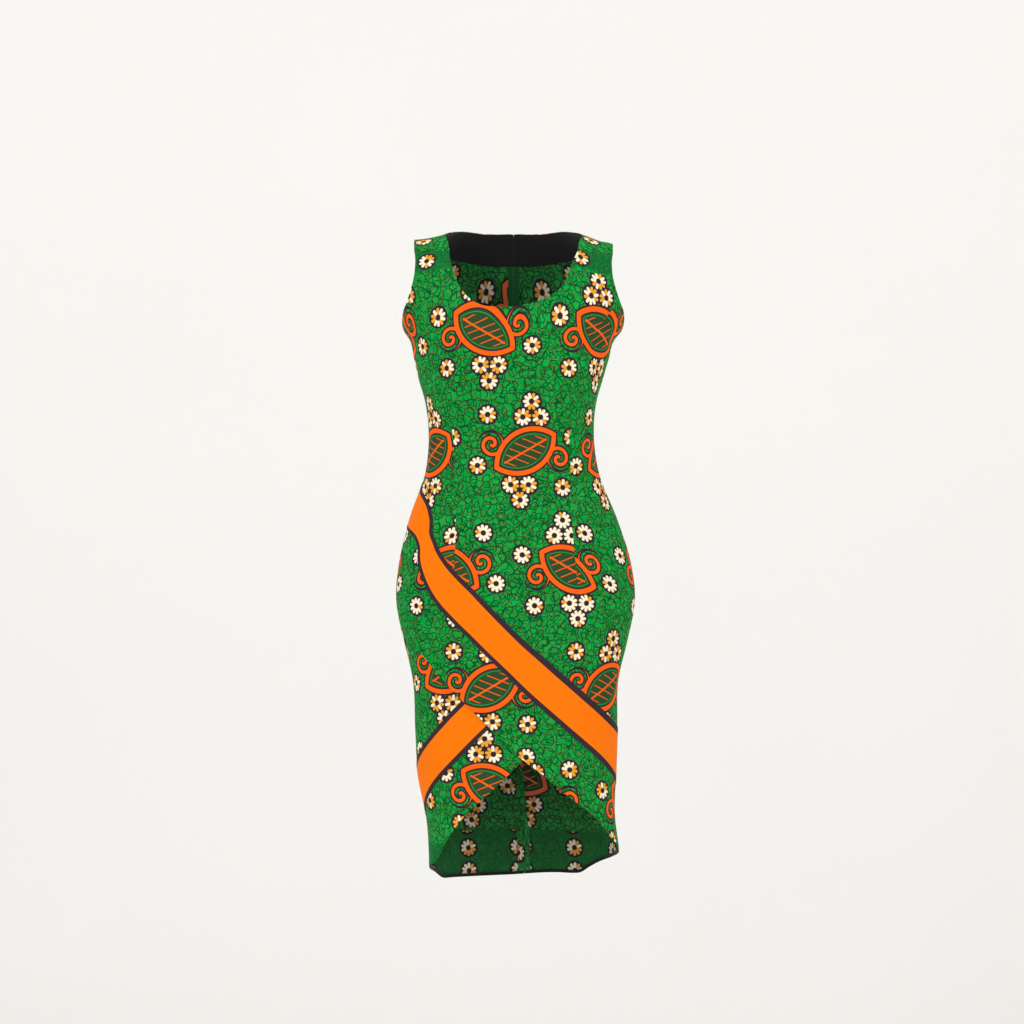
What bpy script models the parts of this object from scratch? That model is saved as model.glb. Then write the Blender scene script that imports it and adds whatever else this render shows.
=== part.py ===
"""Sleeveless wax print sheath dress with a tulip front, as it hangs on a standing wearer.

Every piece of cloth is cut out of one smooth skin. A point of the skin has two coordinates:
across, from -1 at the dress's left-hand side seam in the front view to 1 at the right-hand one,
and height, in metres along the cloth, level with z below the underarm and bent over the
shoulder above it. The front faces -Y, z is up, and the origin lies between the strap tops.
"""
import math

import bmesh
import bpy
import numpy as np
from mathutils import Matrix, Vector
from mathutils.geometry import delaunay_2d_cdt

# Heights along the cloth, in metres
UNDERARM = -0.135
RIDGE = 0.040
SIDE_TOP = -0.141
UNDER_PANEL_TOP = -0.300
ZIP_TOP = -0.040

# Cloth
CLOTH = 0.0015
BAND_CLOTH = 0.0010
GAP = 0.0003
FRONT, BACK = -1, 1

# Shoulder line: how high the ridge of the shoulder lies at a distance from the centre
SHOULDER_SLOPE = 0.235
STRAP_MIDDLE = 0.117
NECK_ROUNDING = 0.030
NECK_RISE = 0.022
NECK_HALF = 0.070

# How far each strap lies above that even line: x and height
STRAP_LIFT = (
    (-0.1850, 0.0010), (-0.1440, 0.0004), (-0.1356, -0.0014), (-0.1168, -0.0036), (-0.0965, -0.0043),
    (-0.0834, -0.0020), (-0.0700, -0.0003), (-0.0550, 0.0000), (-0.0400, 0.0000),
    (0.0400, 0.0000), (0.0550, 0.0000), (0.0700, -0.0003), (0.0800, -0.0018), (0.0935, -0.0046),
    (0.1109, -0.0055), (0.1254, -0.0068), (0.1399, -0.0056), (0.1440, -0.0062), (0.1850, -0.0062),
)

# Sections of the skin: their rounding, and one row for each height
ROUNDING = 2.3
SECTIONS = (
    # height, centre, half width, front depth, back depth
    (0.040, 0.000, 0.185, 0.085, 0.085),
    (-0.060, 0.000, 0.172, 0.096, 0.092),
    (-0.118, 0.000, 0.164, 0.102, 0.097),
    (-0.135, -0.001, 0.160, 0.104, 0.098),
    (-0.152, -0.002, 0.1485, 0.106, 0.098),
    (-0.180, -0.003, 0.1410, 0.108, 0.096),
    (-0.209, -0.004, 0.1335, 0.105, 0.092),
    (-0.238, -0.004, 0.1250, 0.098, 0.088),
    (-0.300, -0.003, 0.1200, 0.087, 0.084),
    (-0.345, -0.002, 0.1260, 0.090, 0.094),
    (-0.412, 0.000, 0.1505, 0.098, 0.118),
    (-0.470, 0.002, 0.1670, 0.101, 0.131),
    (-0.528, 0.003, 0.1730, 0.102, 0.132),
    (-0.586, 0.003, 0.1625, 0.100, 0.122),
    (-0.644, 0.003, 0.1490, 0.096, 0.112),
    (-0.716, 0.004, 0.1465, 0.094, 0.107),
    (-0.780, 0.005, 0.1435, 0.092, 0.104),
    (-0.840, 0.010, 0.1370, 0.090, 0.102),
    (-0.890, 0.015, 0.1380, 0.089, 0.102),
    (-0.960, 0.017, 0.1400, 0.089, 0.103),
)

# Bust fullness that the darts give, one mound each side
BUST_APART = 0.088
BUST_HEIGHT = -0.198
BUST_HALF = (0.046, 0.062)
BUST_FULLNESS = 0.017

# How close to the side seams the bust and the folds die away
SEAM_FLATNESS = 8

# Soft drag folds, deepest in their middle
FOLDS = (
    # side, x, height, half length, half width, lean in degrees, depth
    (FRONT, -0.118, -0.418, 0.050, 0.011, 28, 0.0034),
    (FRONT, -0.128, -0.452, 0.040, 0.010, 20, 0.0024),
    (FRONT, 0.122, -0.402, 0.046, 0.011, -30, 0.0026),
    (FRONT, 0.100, -0.355, 0.040, 0.009, -24, 0.0016),
    (FRONT, -0.094, -0.352, 0.036, 0.009, 26, 0.0016),
    (FRONT, 0.030, -0.600, 0.085, 0.016, -38, 0.0014),
    (FRONT, 0.118, -0.165, 0.040, 0.009, 40, 0.0018),
    (FRONT, -0.118, -0.168, 0.038, 0.009, -40, 0.0018),
    (BACK, -0.070, -0.330, 0.060, 0.012, 16, 0.0030),
    (BACK, 0.078, -0.345, 0.055, 0.012, -14, 0.0028),
    (BACK, 0.030, -0.372, 0.070, 0.011, -6, 0.0020),
    (BACK, 0.105, -0.640, 0.060, 0.013, 42, 0.0022),
    (BACK, -0.100, -0.660, 0.058, 0.013, -40, 0.0020),
)

# Edges of the pieces: distance from the centre plane, height
SEAM_NECK_END = (0.0920, -0.0385)
LEFT_NECK_EDGE = (
    SEAM_NECK_END, (0.0907, -0.0553), (0.0869, -0.0718), (0.0825, -0.0850), (0.0759, -0.0973),
    (0.0666, -0.1081), (0.0460, -0.1189), (0.0240, -0.1219), (0.0000, -0.1222),
)
RIGHT_NECK_EDGE = (
    SEAM_NECK_END, (0.0874, -0.0530), (0.0837, -0.0626), (0.0749, -0.0855), (0.0694, -0.0955),
    (0.0615, -0.1033), (0.0402, -0.1143), (0.0200, -0.1193), (0.0000, -0.1222),
)
ARMHOLE_EDGE = (
    (0.1430, -0.0220), (0.1410, -0.0444), (0.1450, -0.0809), (0.1530, -0.1038),
    (0.1595, -0.1200),
)
BACK_NECK_EDGE = (
    (0.0940, 0.0400), (0.0870, 0.0240), (0.0730, 0.0060), (0.0500, -0.0140),
    (0.0250, -0.0260), (0.0000, -0.0300),
)
BACK_ARMHOLE_EDGE = (
    (0.1430, 0.0400), (0.1400, 0.0000), (0.1405, -0.0480), (0.1460, -0.0900),
    (0.1550, -0.1180),
)
UNDERARM_CURVE = ((0.940, -0.1350), (0.975, -0.1400))
BACK_FACING_DEPTH = 0.045

# Edges that run right across: first height at the left side seam, then x and height, then the right
OVER_HEM = (
    -0.576,
    (
        (-0.141, -0.597), (-0.100, -0.645), (-0.038, -0.707), (0.008, -0.752),
        (0.042, -0.778), (0.075, -0.806), (0.119, -0.842), (0.142, -0.872),
    ),
    -0.890,
)
UNDER_HEM = (
    -0.914,
    (
        (-0.109, -0.900), (-0.098, -0.877), (-0.067, -0.834), (-0.033, -0.802),
        (0.002, -0.768), (0.042, -0.722), (0.088, -0.671), (0.130, -0.622),
    ),
    -0.576,
)
BACK_HEM = (
    -0.915,
    (
        (-0.1122, -0.9296), (-0.1037, -0.9370), (-0.0950, -0.9372), (-0.0126, -0.9361),
        (0.0691, -0.9322), (0.0890, -0.9326), (0.0985, -0.9318), (0.1132, -0.9220),
        (0.1276, -0.9134), (0.1431, -0.9055),
    ),
    -0.893,
)
OVER_BAND_TOP = (
    -0.362,
    (
        (-0.122, -0.404), (-0.1205, -0.434), (-0.0975, -0.481), (-0.0616, -0.520),
        (-0.0291, -0.554), (0.0049, -0.588), (0.043, -0.622), (0.0812, -0.656),
        (0.107, -0.679), (0.142, -0.7125),
    ),
    -0.728,
)
OVER_BAND_FOOT = (
    -0.415,
    (
        (-0.136, -0.444), (-0.131, -0.480), (-0.1135, -0.521), (-0.0475, -0.592),
        (0.002, -0.640), (0.061, -0.694), (0.119, -0.745), (0.143, -0.773),
    ),
    -0.790,
)
UNDER_BAND_TOP = (
    -0.780,
    (
        (-0.134, -0.755), (-0.102, -0.712), (-0.070, -0.677), (0.000, -0.608),
        (0.070, -0.545), (0.118, -0.490),
    ),
    -0.420,
)
UNDER_BAND_FOOT = (
    -0.836,
    (
        (-0.127, -0.814), (-0.098, -0.768), (-0.056, -0.724), (0.000, -0.668),
        (0.070, -0.604), (0.125, -0.548),
    ),
    -0.476,
)

# Widths of the dark borders above and below the orange, each at the left side seam and the right
OVER_BAND_BORDERS = ((0.005, 0.0105), (0.005, 0.0075))
UNDER_BAND_BORDERS = ((0.0065, 0.0075), (0.0060, 0.0055))

# How far below the over hem the under panel comes up to the skin
HEM_ROLL_OUT = 0.050

# Mesh: cloth between the side seams on one side, and the spacing inside a piece and along its edge
GIRTH = 0.225
STEP = 0.026
CURVE_STEP = 0.020
CLEAR_OF_EDGE = 0.55
PROBE = 1e-5
SAME_POINT = 1e-7

# Concealed zip: slider and pull, in metres
SLIDER = (0.0050, 0.0110, 0.0021)
CHEEK = (0.0006, 0.0028, 0.0028)
CHEEK_GAP = 0.0030
PIN_RADIUS = 0.0005
EYE_RADIUS = 0.0013
EYE_BORE = 0.0008
EYE_WIDTH = 0.0024
PULL_LENGTH = 0.020
PULL_WIDTH = 0.0044
PULL_THICKNESS = 0.0009
PULL_NECK = 0.0030
PIN_ABOVE_MIDDLE = 0.0024

# Colours of the cloth and the metal
PRINT_GREEN = (0.016, 0.300, 0.055)
BAND_ORANGE = (1.000, 0.205, 0.004)
FACING_BLACK = (0.012, 0.012, 0.014)
ZIP_GREEN = (0.030, 0.160, 0.060)


def table(column):
    """One column of the sections, lowest section first."""
    return np.array([row[column] for row in reversed(SECTIONS)])


def smooth(heights, values, at):
    """Cubic curve through a table's values, with the table's own slopes at its rows."""
    slopes = np.gradient(values, heights)
    row = np.clip(np.searchsorted(heights, at) - 1, 0, len(heights) - 2)
    span = heights[row + 1] - heights[row]
    t = np.clip((at - heights[row]) / span, 0.0, 1.0)
    start = (1 + 2 * t) * (1 - t) ** 2 * values[row] + t * (1 - t) ** 2 * span * slopes[row]
    end = t * t * (3 - 2 * t) * values[row + 1] - t * t * (1 - t) * span * slopes[row + 1]
    return start + end


def section(height, facing):
    """Centre, half width and depth of the skin at a height, for the front or the back."""
    rows = table(0)
    depth = np.where(
        facing < 0, smooth(rows, table(3), height), smooth(rows, table(4), height)
    )
    return smooth(rows, table(1), height), smooth(rows, table(2), height), depth


def ridge_height(x):
    """Height of the shoulder line, which falls outwards and rises to the neck."""
    outwards = np.sqrt(x * x + NECK_ROUNDING ** 2)
    even = SHOULDER_SLOPE * (STRAP_MIDDLE - outwards) + NECK_RISE * np.exp(-((x / NECK_HALF) ** 2))
    places, lifts = np.array(STRAP_LIFT).T
    return even + smooth(places, lifts, x)


def fullness(x, height, facing, angle):
    """How far the bust stands out of the plain section and the drag folds fall into it."""
    wide, tall = BUST_HALF
    mound = np.exp(-(((np.abs(x) - BUST_APART) / wide) ** 2) - ((height - BUST_HEIGHT) / tall) ** 2)
    total = np.where(facing < 0, BUST_FULLNESS * mound * np.cos(angle), 0.0)
    for side, fold_x, fold_height, half_length, half_width, lean, deep in FOLDS:
        turn = math.radians(lean)
        along = (x - fold_x) * math.cos(turn) + (height - fold_height) * math.sin(turn)
        beside = (height - fold_height) * math.cos(turn) - (x - fold_x) * math.sin(turn)
        trough = np.exp(-((along / half_length) ** 2) - (beside / half_width) ** 2)
        total = total - np.where(facing == side, deep * trough, 0.0)
    return total * (1 - np.abs(np.sin(angle)) ** SEAM_FLATNESS)


def skin(across, height, side):
    """Points of the skin. A back panel that goes on past the ridge comes down in front."""
    beyond = height > RIDGE
    facing = np.where(beyond, -side, side)
    height = np.where(beyond, 2 * RIDGE - height, height)
    centre, half, depth = section(height, facing)
    angle = across * math.pi / 2
    radius = (
        np.abs(np.cos(angle) / depth) ** ROUNDING + np.abs(np.sin(angle) / half) ** ROUNDING
    ) ** (-1 / ROUNDING)
    radius = radius + fullness(centre + radius * np.sin(angle), height, facing, angle)
    x = centre + radius * np.sin(angle)
    turn = np.clip((height - UNDERARM) / (RIDGE - UNDERARM), 0.0, 1.0) * math.pi / 2
    over_shoulder = UNDERARM + (ridge_height(x) - UNDERARM) * np.sin(turn)
    z = np.where(height < UNDERARM, height, over_shoulder)
    return np.stack([x, facing * radius * np.cos(angle) * np.cos(turn), z], axis=-1)


def slopes_of(across, height, side):
    """The skin's two tangents, one for each of its coordinates."""
    sideways = skin(across + PROBE, height, side) - skin(across - PROBE, height, side)
    upwards = skin(across, height + PROBE, side) - skin(across, height - PROBE, side)
    return sideways / (2 * PROBE), upwards / (2 * PROBE)


def outward(across, height, side):
    """Unit normals of the skin."""
    sideways, upwards = slopes_of(across, height, side)
    normal = np.cross(sideways, upwards) * -side
    return normal / np.linalg.norm(normal, axis=-1, keepdims=True)


def place(x, height, side):
    """The skin's across coordinate at a distance from the centre plane."""
    x, height = np.asarray(x, float), np.asarray(height, float)
    facing = np.where(height > RIDGE, -side, side)
    centre, half, depth = section(np.where(height > RIDGE, 2 * RIDGE - height, height), facing)
    share = np.clip(np.abs(x - centre) / half, 0.0, 1.0)
    forward = depth * (1 - share ** ROUNDING) ** (1 / ROUNDING)
    return np.arctan2(x - centre, forward) / (math.pi / 2)


def curve_through(corners, spacing=CURVE_STEP):
    """Smooth open curve through some points of the cut, as (across, height) rows."""
    flat = np.array(corners) * (GIRTH, 1.0)
    run = np.concatenate([[0.0], np.cumsum(np.linalg.norm(np.diff(flat, axis=0), axis=1))])
    at = np.linspace(0.0, run[-1], max(2, int(round(run[-1] / spacing)) + 1))
    if len(corners) == 2:
        return np.stack([np.interp(at, run, flat[:, 0] / GIRTH), np.interp(at, run, flat[:, 1])], axis=1)
    return np.stack([smooth(run, flat[:, 0] / GIRTH, at), smooth(run, flat[:, 1], at)], axis=1)


def side_edge():
    """The across coordinate where a panel stops, half a gap short of the side seam."""
    return 1.0 - GAP / 2 / GIRTH


def edge_from(rows, side, ends=()):
    """Curve through (x, height) rows of one side of the cut, and then through any end points."""
    corners = [(float(place(x, height, side)), height) for x, height in rows]
    return curve_through(corners + list(ends))


def edge_across(edge, side):
    """Curve from the left side seam to the right one."""
    first, rows, last = edge
    corners = [(float(place(x, height, side)), height) for x, height in rows]
    return curve_through([(-side_edge(), first)] + corners + [(side_edge(), last)])


def mirrored(curve):
    return curve * (-1.0, 1.0)


def shifted(curve, distance, side):
    """The curve moved over the skin, to the left of its direction of travel seen from outside."""
    across, height = curve[:, 0], curve[:, 1]
    points = skin(across, height, side)
    travel = np.gradient(points, axis=0)
    travel /= np.linalg.norm(travel, axis=1, keepdims=True)
    beside = np.cross(outward(across, height, side), travel)
    sideways, upwards = slopes_of(across, height, side)
    moved = curve.copy()
    steps = beside * np.reshape(distance, (-1, 1))
    for row, (a, b, step) in enumerate(zip(sideways, upwards, steps)):
        moved[row] += np.linalg.lstsq(np.stack([a, b], axis=1), step, rcond=None)[0]
    ends = np.abs(curve[[0, -1], 0]) > 0.99
    moved[[0, -1], 0] = np.where(ends, curve[[0, -1], 0], moved[[0, -1], 0])
    return moved


def line(start, end):
    return curve_through([tuple(start), tuple(end)])


def loop_of(*curves):
    """Closed outline of curves that follow each other."""
    joined = [curves[0]]
    for curve in curves[1:]:
        repeated = np.linalg.norm((curve[0] - joined[-1][-1]) * (GIRTH, 1.0)) < SAME_POINT
        joined.append(curve[1:] if repeated else curve)
    outline = np.concatenate(joined)
    closed = np.linalg.norm((outline[0] - outline[-1]) * (GIRTH, 1.0)) < SAME_POINT
    return outline[:-1] if closed else outline


def inside(points, outline):
    """Which points lie inside a closed outline."""
    x, y = points[:, 0][:, None], points[:, 1][:, None]
    first, second = outline, np.roll(outline, -1, axis=0)
    spans = (first[:, 1] > y) != (second[:, 1] > y)
    rise = np.where(first[:, 1] == second[:, 1], 1.0, second[:, 1] - first[:, 1])
    crossing = first[:, 0] + (y - first[:, 1]) / rise * (second[:, 0] - first[:, 0])
    return (spans & (x < crossing)).sum(axis=1) % 2 == 1


def sheet_of(outlines):
    """Triangles that fill every outline, with the outlines among their edges."""
    rim = np.concatenate(outlines)
    low, high = rim.min(axis=0), rim.max(axis=0)
    columns = np.linspace(low[0], high[0], int(round((high[0] - low[0]) * GIRTH / STEP)) + 1)
    rows = np.linspace(low[1], high[1], int(round((high[1] - low[1]) / STEP)) + 1)
    grid = np.stack(np.meshgrid(columns, rows), axis=-1).reshape(-1, 2)
    apart = np.linalg.norm((grid[:, None] - rim[None]) * (GIRTH, 1.0), axis=2).min(axis=1)
    filled = np.zeros(len(grid), bool)
    for outline in outlines:
        filled |= inside(grid, outline)
    grid = grid[filled & (apart > STEP * CLEAR_OF_EDGE)]
    edges = []
    start = 0
    for outline in outlines:
        ring = np.arange(start, start + len(outline))
        edges += list(zip(ring.tolist(), np.roll(ring, -1).tolist()))
        start += len(outline)
    flat = np.concatenate([rim, grid]) * (GIRTH, 1.0)
    made = delaunay_2d_cdt([Vector(point) for point in flat], edges, [], 0, 1e-6)
    points = np.array([tuple(point) for point in made[0]]) / (GIRTH, 1.0)
    return points, np.array([face for face in made[2] if len(face) == 3])


def material_of(name, colour, roughness, metallic=0.0):
    made = bpy.data.materials.new(name)
    made.use_nodes = True
    shader = made.node_tree.nodes["Principled BSDF"]
    shader.inputs["Base Color"].default_value = (*colour, 1.0)
    shader.inputs["Roughness"].default_value = roughness
    shader.inputs["Metallic"].default_value = metallic
    made.diffuse_color = (*colour, 1.0)
    return made


def add_object(name, form, collection, material):
    """Object from a bmesh, smooth where it bends softly."""
    bmesh.ops.recalc_face_normals(form, faces=form.faces[:])
    mesh = bpy.data.meshes.new(name)
    form.to_mesh(mesh)
    form.free()
    mesh.shade_smooth()
    mesh.set_sharp_from_angle(angle=math.radians(40))
    mesh.materials.append(material)
    made = bpy.data.objects.new(name, mesh)
    collection.objects.link(made)
    return made


def wall(sheet, outline, side, outer, inner):
    """Closed wall of cloth: the sheet's triangles in the outline, outside and inside."""
    points, faces = sheet
    faces = faces[inside(points[faces].mean(axis=1), outline)]
    used, faces = np.unique(faces, return_inverse=True)
    across, height = points[used].T
    skin_points, normals = skin(across, height, side), outward(across, height, side)
    outside = skin_points + normals * outer(across, height)[:, None]
    lining = skin_points + normals * inner(across, height)[:, None]
    form = bmesh.new()
    number = form.verts.layers.int.new("number")
    corners = []
    for index, point in enumerate(outside):
        corner = form.verts.new(point)
        corner[number] = index
        corners.append(corner)
    for face in faces.reshape(-1, 3):
        form.faces.new([corners[index] for index in face])
    pulled = bmesh.ops.extrude_face_region(form, geom=form.faces[:], use_keep_orig=True)
    for item in pulled["geom"]:
        if isinstance(item, bmesh.types.BMVert):
            item.co = lining[item[number]]
    return form


def level(value):
    """A layer at one distance from the skin."""
    return lambda across, height: np.full(len(across), value)


def under_layer(depth, over_hem):
    """A layer under the over panel that comes up to the skin below the over panel's hem."""
    def distance(across, height):
        hem = np.interp(across, over_hem[:, 0], over_hem[:, 1])
        out = np.clip((hem - height) / HEM_ROLL_OUT, 0.0, 1.0)
        sunk = BAND_CLOTH + CLOTH + 2 * GAP
        return depth - sunk * (1 - out * out * (3 - 2 * out))
    return distance


def front_edges():
    """Every edge that the front pieces share."""
    top = np.array([-side_edge(), SIDE_TOP])
    armhole = edge_from(ARMHOLE_EDGE, FRONT, UNDERARM_CURVE + ((side_edge(), SIDE_TOP),))
    left_neck = mirrored(edge_from(LEFT_NECK_EDGE, FRONT))
    right_neck = edge_from(RIGHT_NECK_EDGE, FRONT)
    over_hem = edge_across(OVER_HEM, FRONT)
    under_hem = edge_across(UNDER_HEM, FRONT)
    bodice = [
        mirrored(armhole)[::-1],
        line(mirrored(armhole)[0], left_neck[0]),
        left_neck,
        right_neck[::-1],
        line(right_neck[0], armhole[0]),
        armhole,
    ]
    over = loop_of(*bodice, line(armhole[-1], over_hem[-1]), over_hem[::-1], line(over_hem[0], top))
    waist = line((-side_edge(), UNDER_PANEL_TOP), (side_edge(), UNDER_PANEL_TOP))
    under = loop_of(
        waist, line(waist[-1], under_hem[-1]), under_hem[::-1], line(under_hem[0], waist[0])
    )
    return over, under, over_hem


def widths(ends, curve):
    """Width of a border along a curve, from its widths at the two side seams."""
    return np.interp(curve[:, 0], (-1.0, 1.0), ends)


def band_outline(top, foot, borders):
    """Outline of a band: its plain middle and a border each side."""
    top, foot = edge_across(top, FRONT), edge_across(foot, FRONT)
    upper = shifted(top, widths(borders[0], top), FRONT)
    lower = shifted(foot, -widths(borders[1], foot), FRONT)
    return loop_of(upper, line(upper[-1], lower[-1]), lower[::-1], line(lower[0], upper[0]))


def add_front(collection, materials):
    over, under, over_hem = front_edges()
    over_band = band_outline(OVER_BAND_TOP, OVER_BAND_FOOT, OVER_BAND_BORDERS)
    under_band = band_outline(UNDER_BAND_TOP, UNDER_BAND_FOOT, UNDER_BAND_BORDERS)
    sheet = sheet_of([over, under, over_band, under_band])
    layers = (
        ("front_over", over, level(0.0), level(-CLOTH), "print"),
        ("front_under", under, under_layer(0.0, over_hem), under_layer(-CLOTH, over_hem), "print"),
        ("band_over", over_band, level(GAP + BAND_CLOTH), level(GAP), "band"),
        (
            "band_under",
            under_band,
            under_layer(GAP + BAND_CLOTH, over_hem),
            under_layer(GAP, over_hem),
            "band",
        ),
    )
    for name, outline, outer, inner, material in layers:
        form = wall(sheet, outline, FRONT, outer, inner)
        add_object(name, form, collection, materials[material])


def back_half(hem):
    """Outlines of the right-hand back panel in the front view and of its neck facing."""
    middle = GAP / 2 / GIRTH
    seam = [(x, 2 * RIDGE - height - GAP) for x, height in (ARMHOLE_EDGE[0], SEAM_NECK_END)]
    foot = UNDERARM_CURVE + ((side_edge(), SIDE_TOP),)
    armhole = edge_from((seam[0],) + BACK_ARMHOLE_EDGE, BACK, foot)
    neck = edge_from((seam[1],) + BACK_NECK_EDGE, BACK)
    neck[-1, 0] = middle
    centre = line(neck[-1], (middle, hem[0, 1]))
    panel = loop_of(armhole, line(armhole[-1], hem[-1]), hem[::-1], centre[::-1], neck[::-1],
                    line(neck[0], armhole[0]))
    inner_neck = edge_from(BACK_NECK_EDGE, BACK)
    inner_neck[-1, 0] = middle
    lower = shifted(inner_neck, -BACK_FACING_DEPTH, BACK)
    lower[-1, 0] = middle
    facing = loop_of(inner_neck, line(inner_neck[-1], lower[-1]), lower[::-1],
                     line(lower[0], inner_neck[0]))
    return panel, facing


def add_back(collection, materials):
    whole_hem = edge_across(BACK_HEM, BACK)
    middle = GAP / 2 / GIRTH
    for name, turn in (("left", -1.0), ("right", 1.0)):
        reach = turn * whole_hem[:, 0]
        order = np.argsort(reach)
        start = (middle, float(np.interp(middle, reach[order], whole_hem[order, 1])))
        beyond = [(reach[i], whole_hem[i, 1]) for i in order if reach[i] > middle + 0.02]
        hem = np.array([start] + beyond)
        outlines = [outline * (turn, 1.0) for outline in back_half(hem)]
        sheet = sheet_of(outlines)
        panel = wall(sheet, outlines[0], BACK, level(0.0), level(-CLOTH))
        add_object("back_" + name, panel, collection, materials["print"])
        facing = wall(sheet, outlines[1], BACK, level(-CLOTH - GAP), level(-CLOTH - GAP - BAND_CLOTH))
        add_object("neck_facing_" + name, facing, collection, materials["facing"])


def box(size, centre):
    form = bmesh.new()
    bmesh.ops.create_cube(form, size=1.0, matrix=Matrix.LocRotScale(centre, None, size))
    return form


def rod(radius, length, centre):
    """Round rod along x."""
    form = bmesh.new()
    across = Matrix.LocRotScale(centre, Matrix.Rotation(math.pi / 2, 3, "Y"), None)
    bmesh.ops.create_cone(
        form, cap_ends=True, segments=12, radius1=radius, radius2=radius, depth=length, matrix=across
    )
    return form


def combined(name, first, others, operation, collection):
    """The first form with the others joined to it, or cut out of it."""
    mesh = bpy.data.meshes.new(name)
    first.to_mesh(mesh)
    first.free()
    made = bpy.data.objects.new(name, mesh)
    for number, form in enumerate(others):
        tool_mesh = bpy.data.meshes.new(f"{name}_tool_{number}")
        form.to_mesh(tool_mesh)
        form.free()
        tool = bpy.data.objects.new(f"{name}_tool_{number}", tool_mesh)
        tool.hide_render = True
        tool.display_type = "WIRE"
        collection.objects.link(tool)
        change = made.modifiers.new(operation.title(), "BOOLEAN")
        change.operation = operation
        change.object = tool
    return made


def zip_frame():
    """Where the slider sits: its x runs across, its y down the seam and its z out of the cloth."""
    across, height = np.array([0.0]), np.array([ZIP_TOP - SLIDER[1] / 2])
    point, out = skin(across, height, BACK)[0], outward(across, height, BACK)[0]
    down = np.cross(out, (1.0, 0.0, 0.0))
    turned = Matrix((Vector((1.0, 0.0, 0.0)), Vector(down), Vector(out))).transposed().to_4x4()
    return Matrix.Translation(Vector(point)) @ turned


def add_zip(collection, cutters, materials):
    frame = zip_frame()
    width, length, thick = SLIDER
    top = GAP + thick
    pin = Vector((0.0, -PIN_ABOVE_MIDDLE, top + GAP + EYE_RADIUS))
    cheek_x = (CHEEK_GAP + CHEEK[0]) / 2
    cheeks = [
        box(CHEEK, Vector((turn * cheek_x, pin.y, top + CHEEK[2] / 2 - GAP)))
        for turn in (-1.0, 1.0)
    ]
    pin_rod = rod(PIN_RADIUS, CHEEK_GAP + CHEEK[0], pin)
    body = box((width, length, thick), Vector((0.0, 0.0, GAP + thick / 2)))
    slider = combined("zip_slider", body, cheeks + [pin_rod], "UNION", cutters)
    eye = rod(EYE_RADIUS, EYE_WIDTH, Vector())
    rest = -EYE_RADIUS + PULL_THICKNESS / 2
    neck = box((EYE_WIDTH, PULL_NECK, PULL_THICKNESS), Vector((0.0, PULL_NECK / 2, rest)))
    blade_length = PULL_LENGTH - PULL_NECK
    blade = box(
        (PULL_WIDTH, blade_length, PULL_THICKNESS),
        Vector((0.0, PULL_NECK + blade_length / 2 - GAP, rest)),
    )
    pull = combined("zip_pull", eye, [neck, blade], "UNION", cutters)
    bore_mesh = bpy.data.meshes.new("zip_pull_bore")
    bore_form = rod(EYE_BORE, EYE_WIDTH * 2, Vector())
    bore_form.to_mesh(bore_mesh)
    bore_form.free()
    bore = bpy.data.objects.new("zip_pull_bore", bore_mesh)
    bore.hide_render = True
    bore.display_type = "WIRE"
    cutters.objects.link(bore)
    drill = pull.modifiers.new("Bore", "BOOLEAN")
    drill.operation = "DIFFERENCE"
    drill.object = bore
    for item, place_of in ((slider, frame), (pull, frame @ Matrix.Translation(pin))):
        item.matrix_world = place_of
        item.data.materials.append(materials["zip"])
        collection.objects.link(item)
        for change in item.modifiers:
            change.object.matrix_world = place_of


def main():
    for item in list(bpy.data.objects):
        bpy.data.objects.remove(item)
    collection = bpy.data.collections.new("Wax print dress")
    cutters = bpy.data.collections.new("Cutters")
    for group in (collection, cutters):
        bpy.context.scene.collection.children.link(group)
    materials = {
        "print": material_of("Wax print", PRINT_GREEN, 0.75),
        "band": material_of("Orange band", BAND_ORANGE, 0.75),
        "facing": material_of("Black facing", FACING_BLACK, 0.85),
        "zip": material_of("Painted zip", ZIP_GREEN, 0.40, 0.6),
    }
    add_front(collection, materials)
    add_back(collection, materials)
    add_zip(collection, cutters, materials)


main()
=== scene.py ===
"""Looks of a sleeveless wax print sheath dress with a tulip front: cloth, print, sewing and zip.

Every piece of cloth is cut out of one smooth skin, as in the solids. A point of the skin has two
coordinates: across, from -1 at one side seam to 1 at the other, and height, in metres along the
cloth. The front faces -Y, z is up, and the origin lies between the strap tops.
"""
import functools
import math

import bpy
import numpy as np
from bpy.props import FloatProperty, FloatVectorProperty, PointerProperty
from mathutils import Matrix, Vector
from mathutils.geometry import delaunay_2d_cdt


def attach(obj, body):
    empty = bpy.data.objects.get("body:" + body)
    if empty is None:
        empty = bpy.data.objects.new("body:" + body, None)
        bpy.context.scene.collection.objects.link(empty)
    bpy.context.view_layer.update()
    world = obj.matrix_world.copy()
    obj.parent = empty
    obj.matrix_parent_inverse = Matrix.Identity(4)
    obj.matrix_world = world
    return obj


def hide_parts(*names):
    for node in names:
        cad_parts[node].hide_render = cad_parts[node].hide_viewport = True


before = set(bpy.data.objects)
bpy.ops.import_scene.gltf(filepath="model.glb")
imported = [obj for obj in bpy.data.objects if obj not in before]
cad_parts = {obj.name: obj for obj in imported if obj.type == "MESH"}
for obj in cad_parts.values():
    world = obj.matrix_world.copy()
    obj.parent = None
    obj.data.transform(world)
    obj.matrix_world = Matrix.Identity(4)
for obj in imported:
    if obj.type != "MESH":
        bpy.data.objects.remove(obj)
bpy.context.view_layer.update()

bl_info = {
    "name": "Wax print dress",
    "version": (1, 0, 0),
    "blender": (4, 5, 0),
    "location": "3D View > Sidebar > Dress",
    "description": "Makes the cloth, print, sewing and zip of a wax print dress, and its stage",
    "category": "Object",
}

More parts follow.
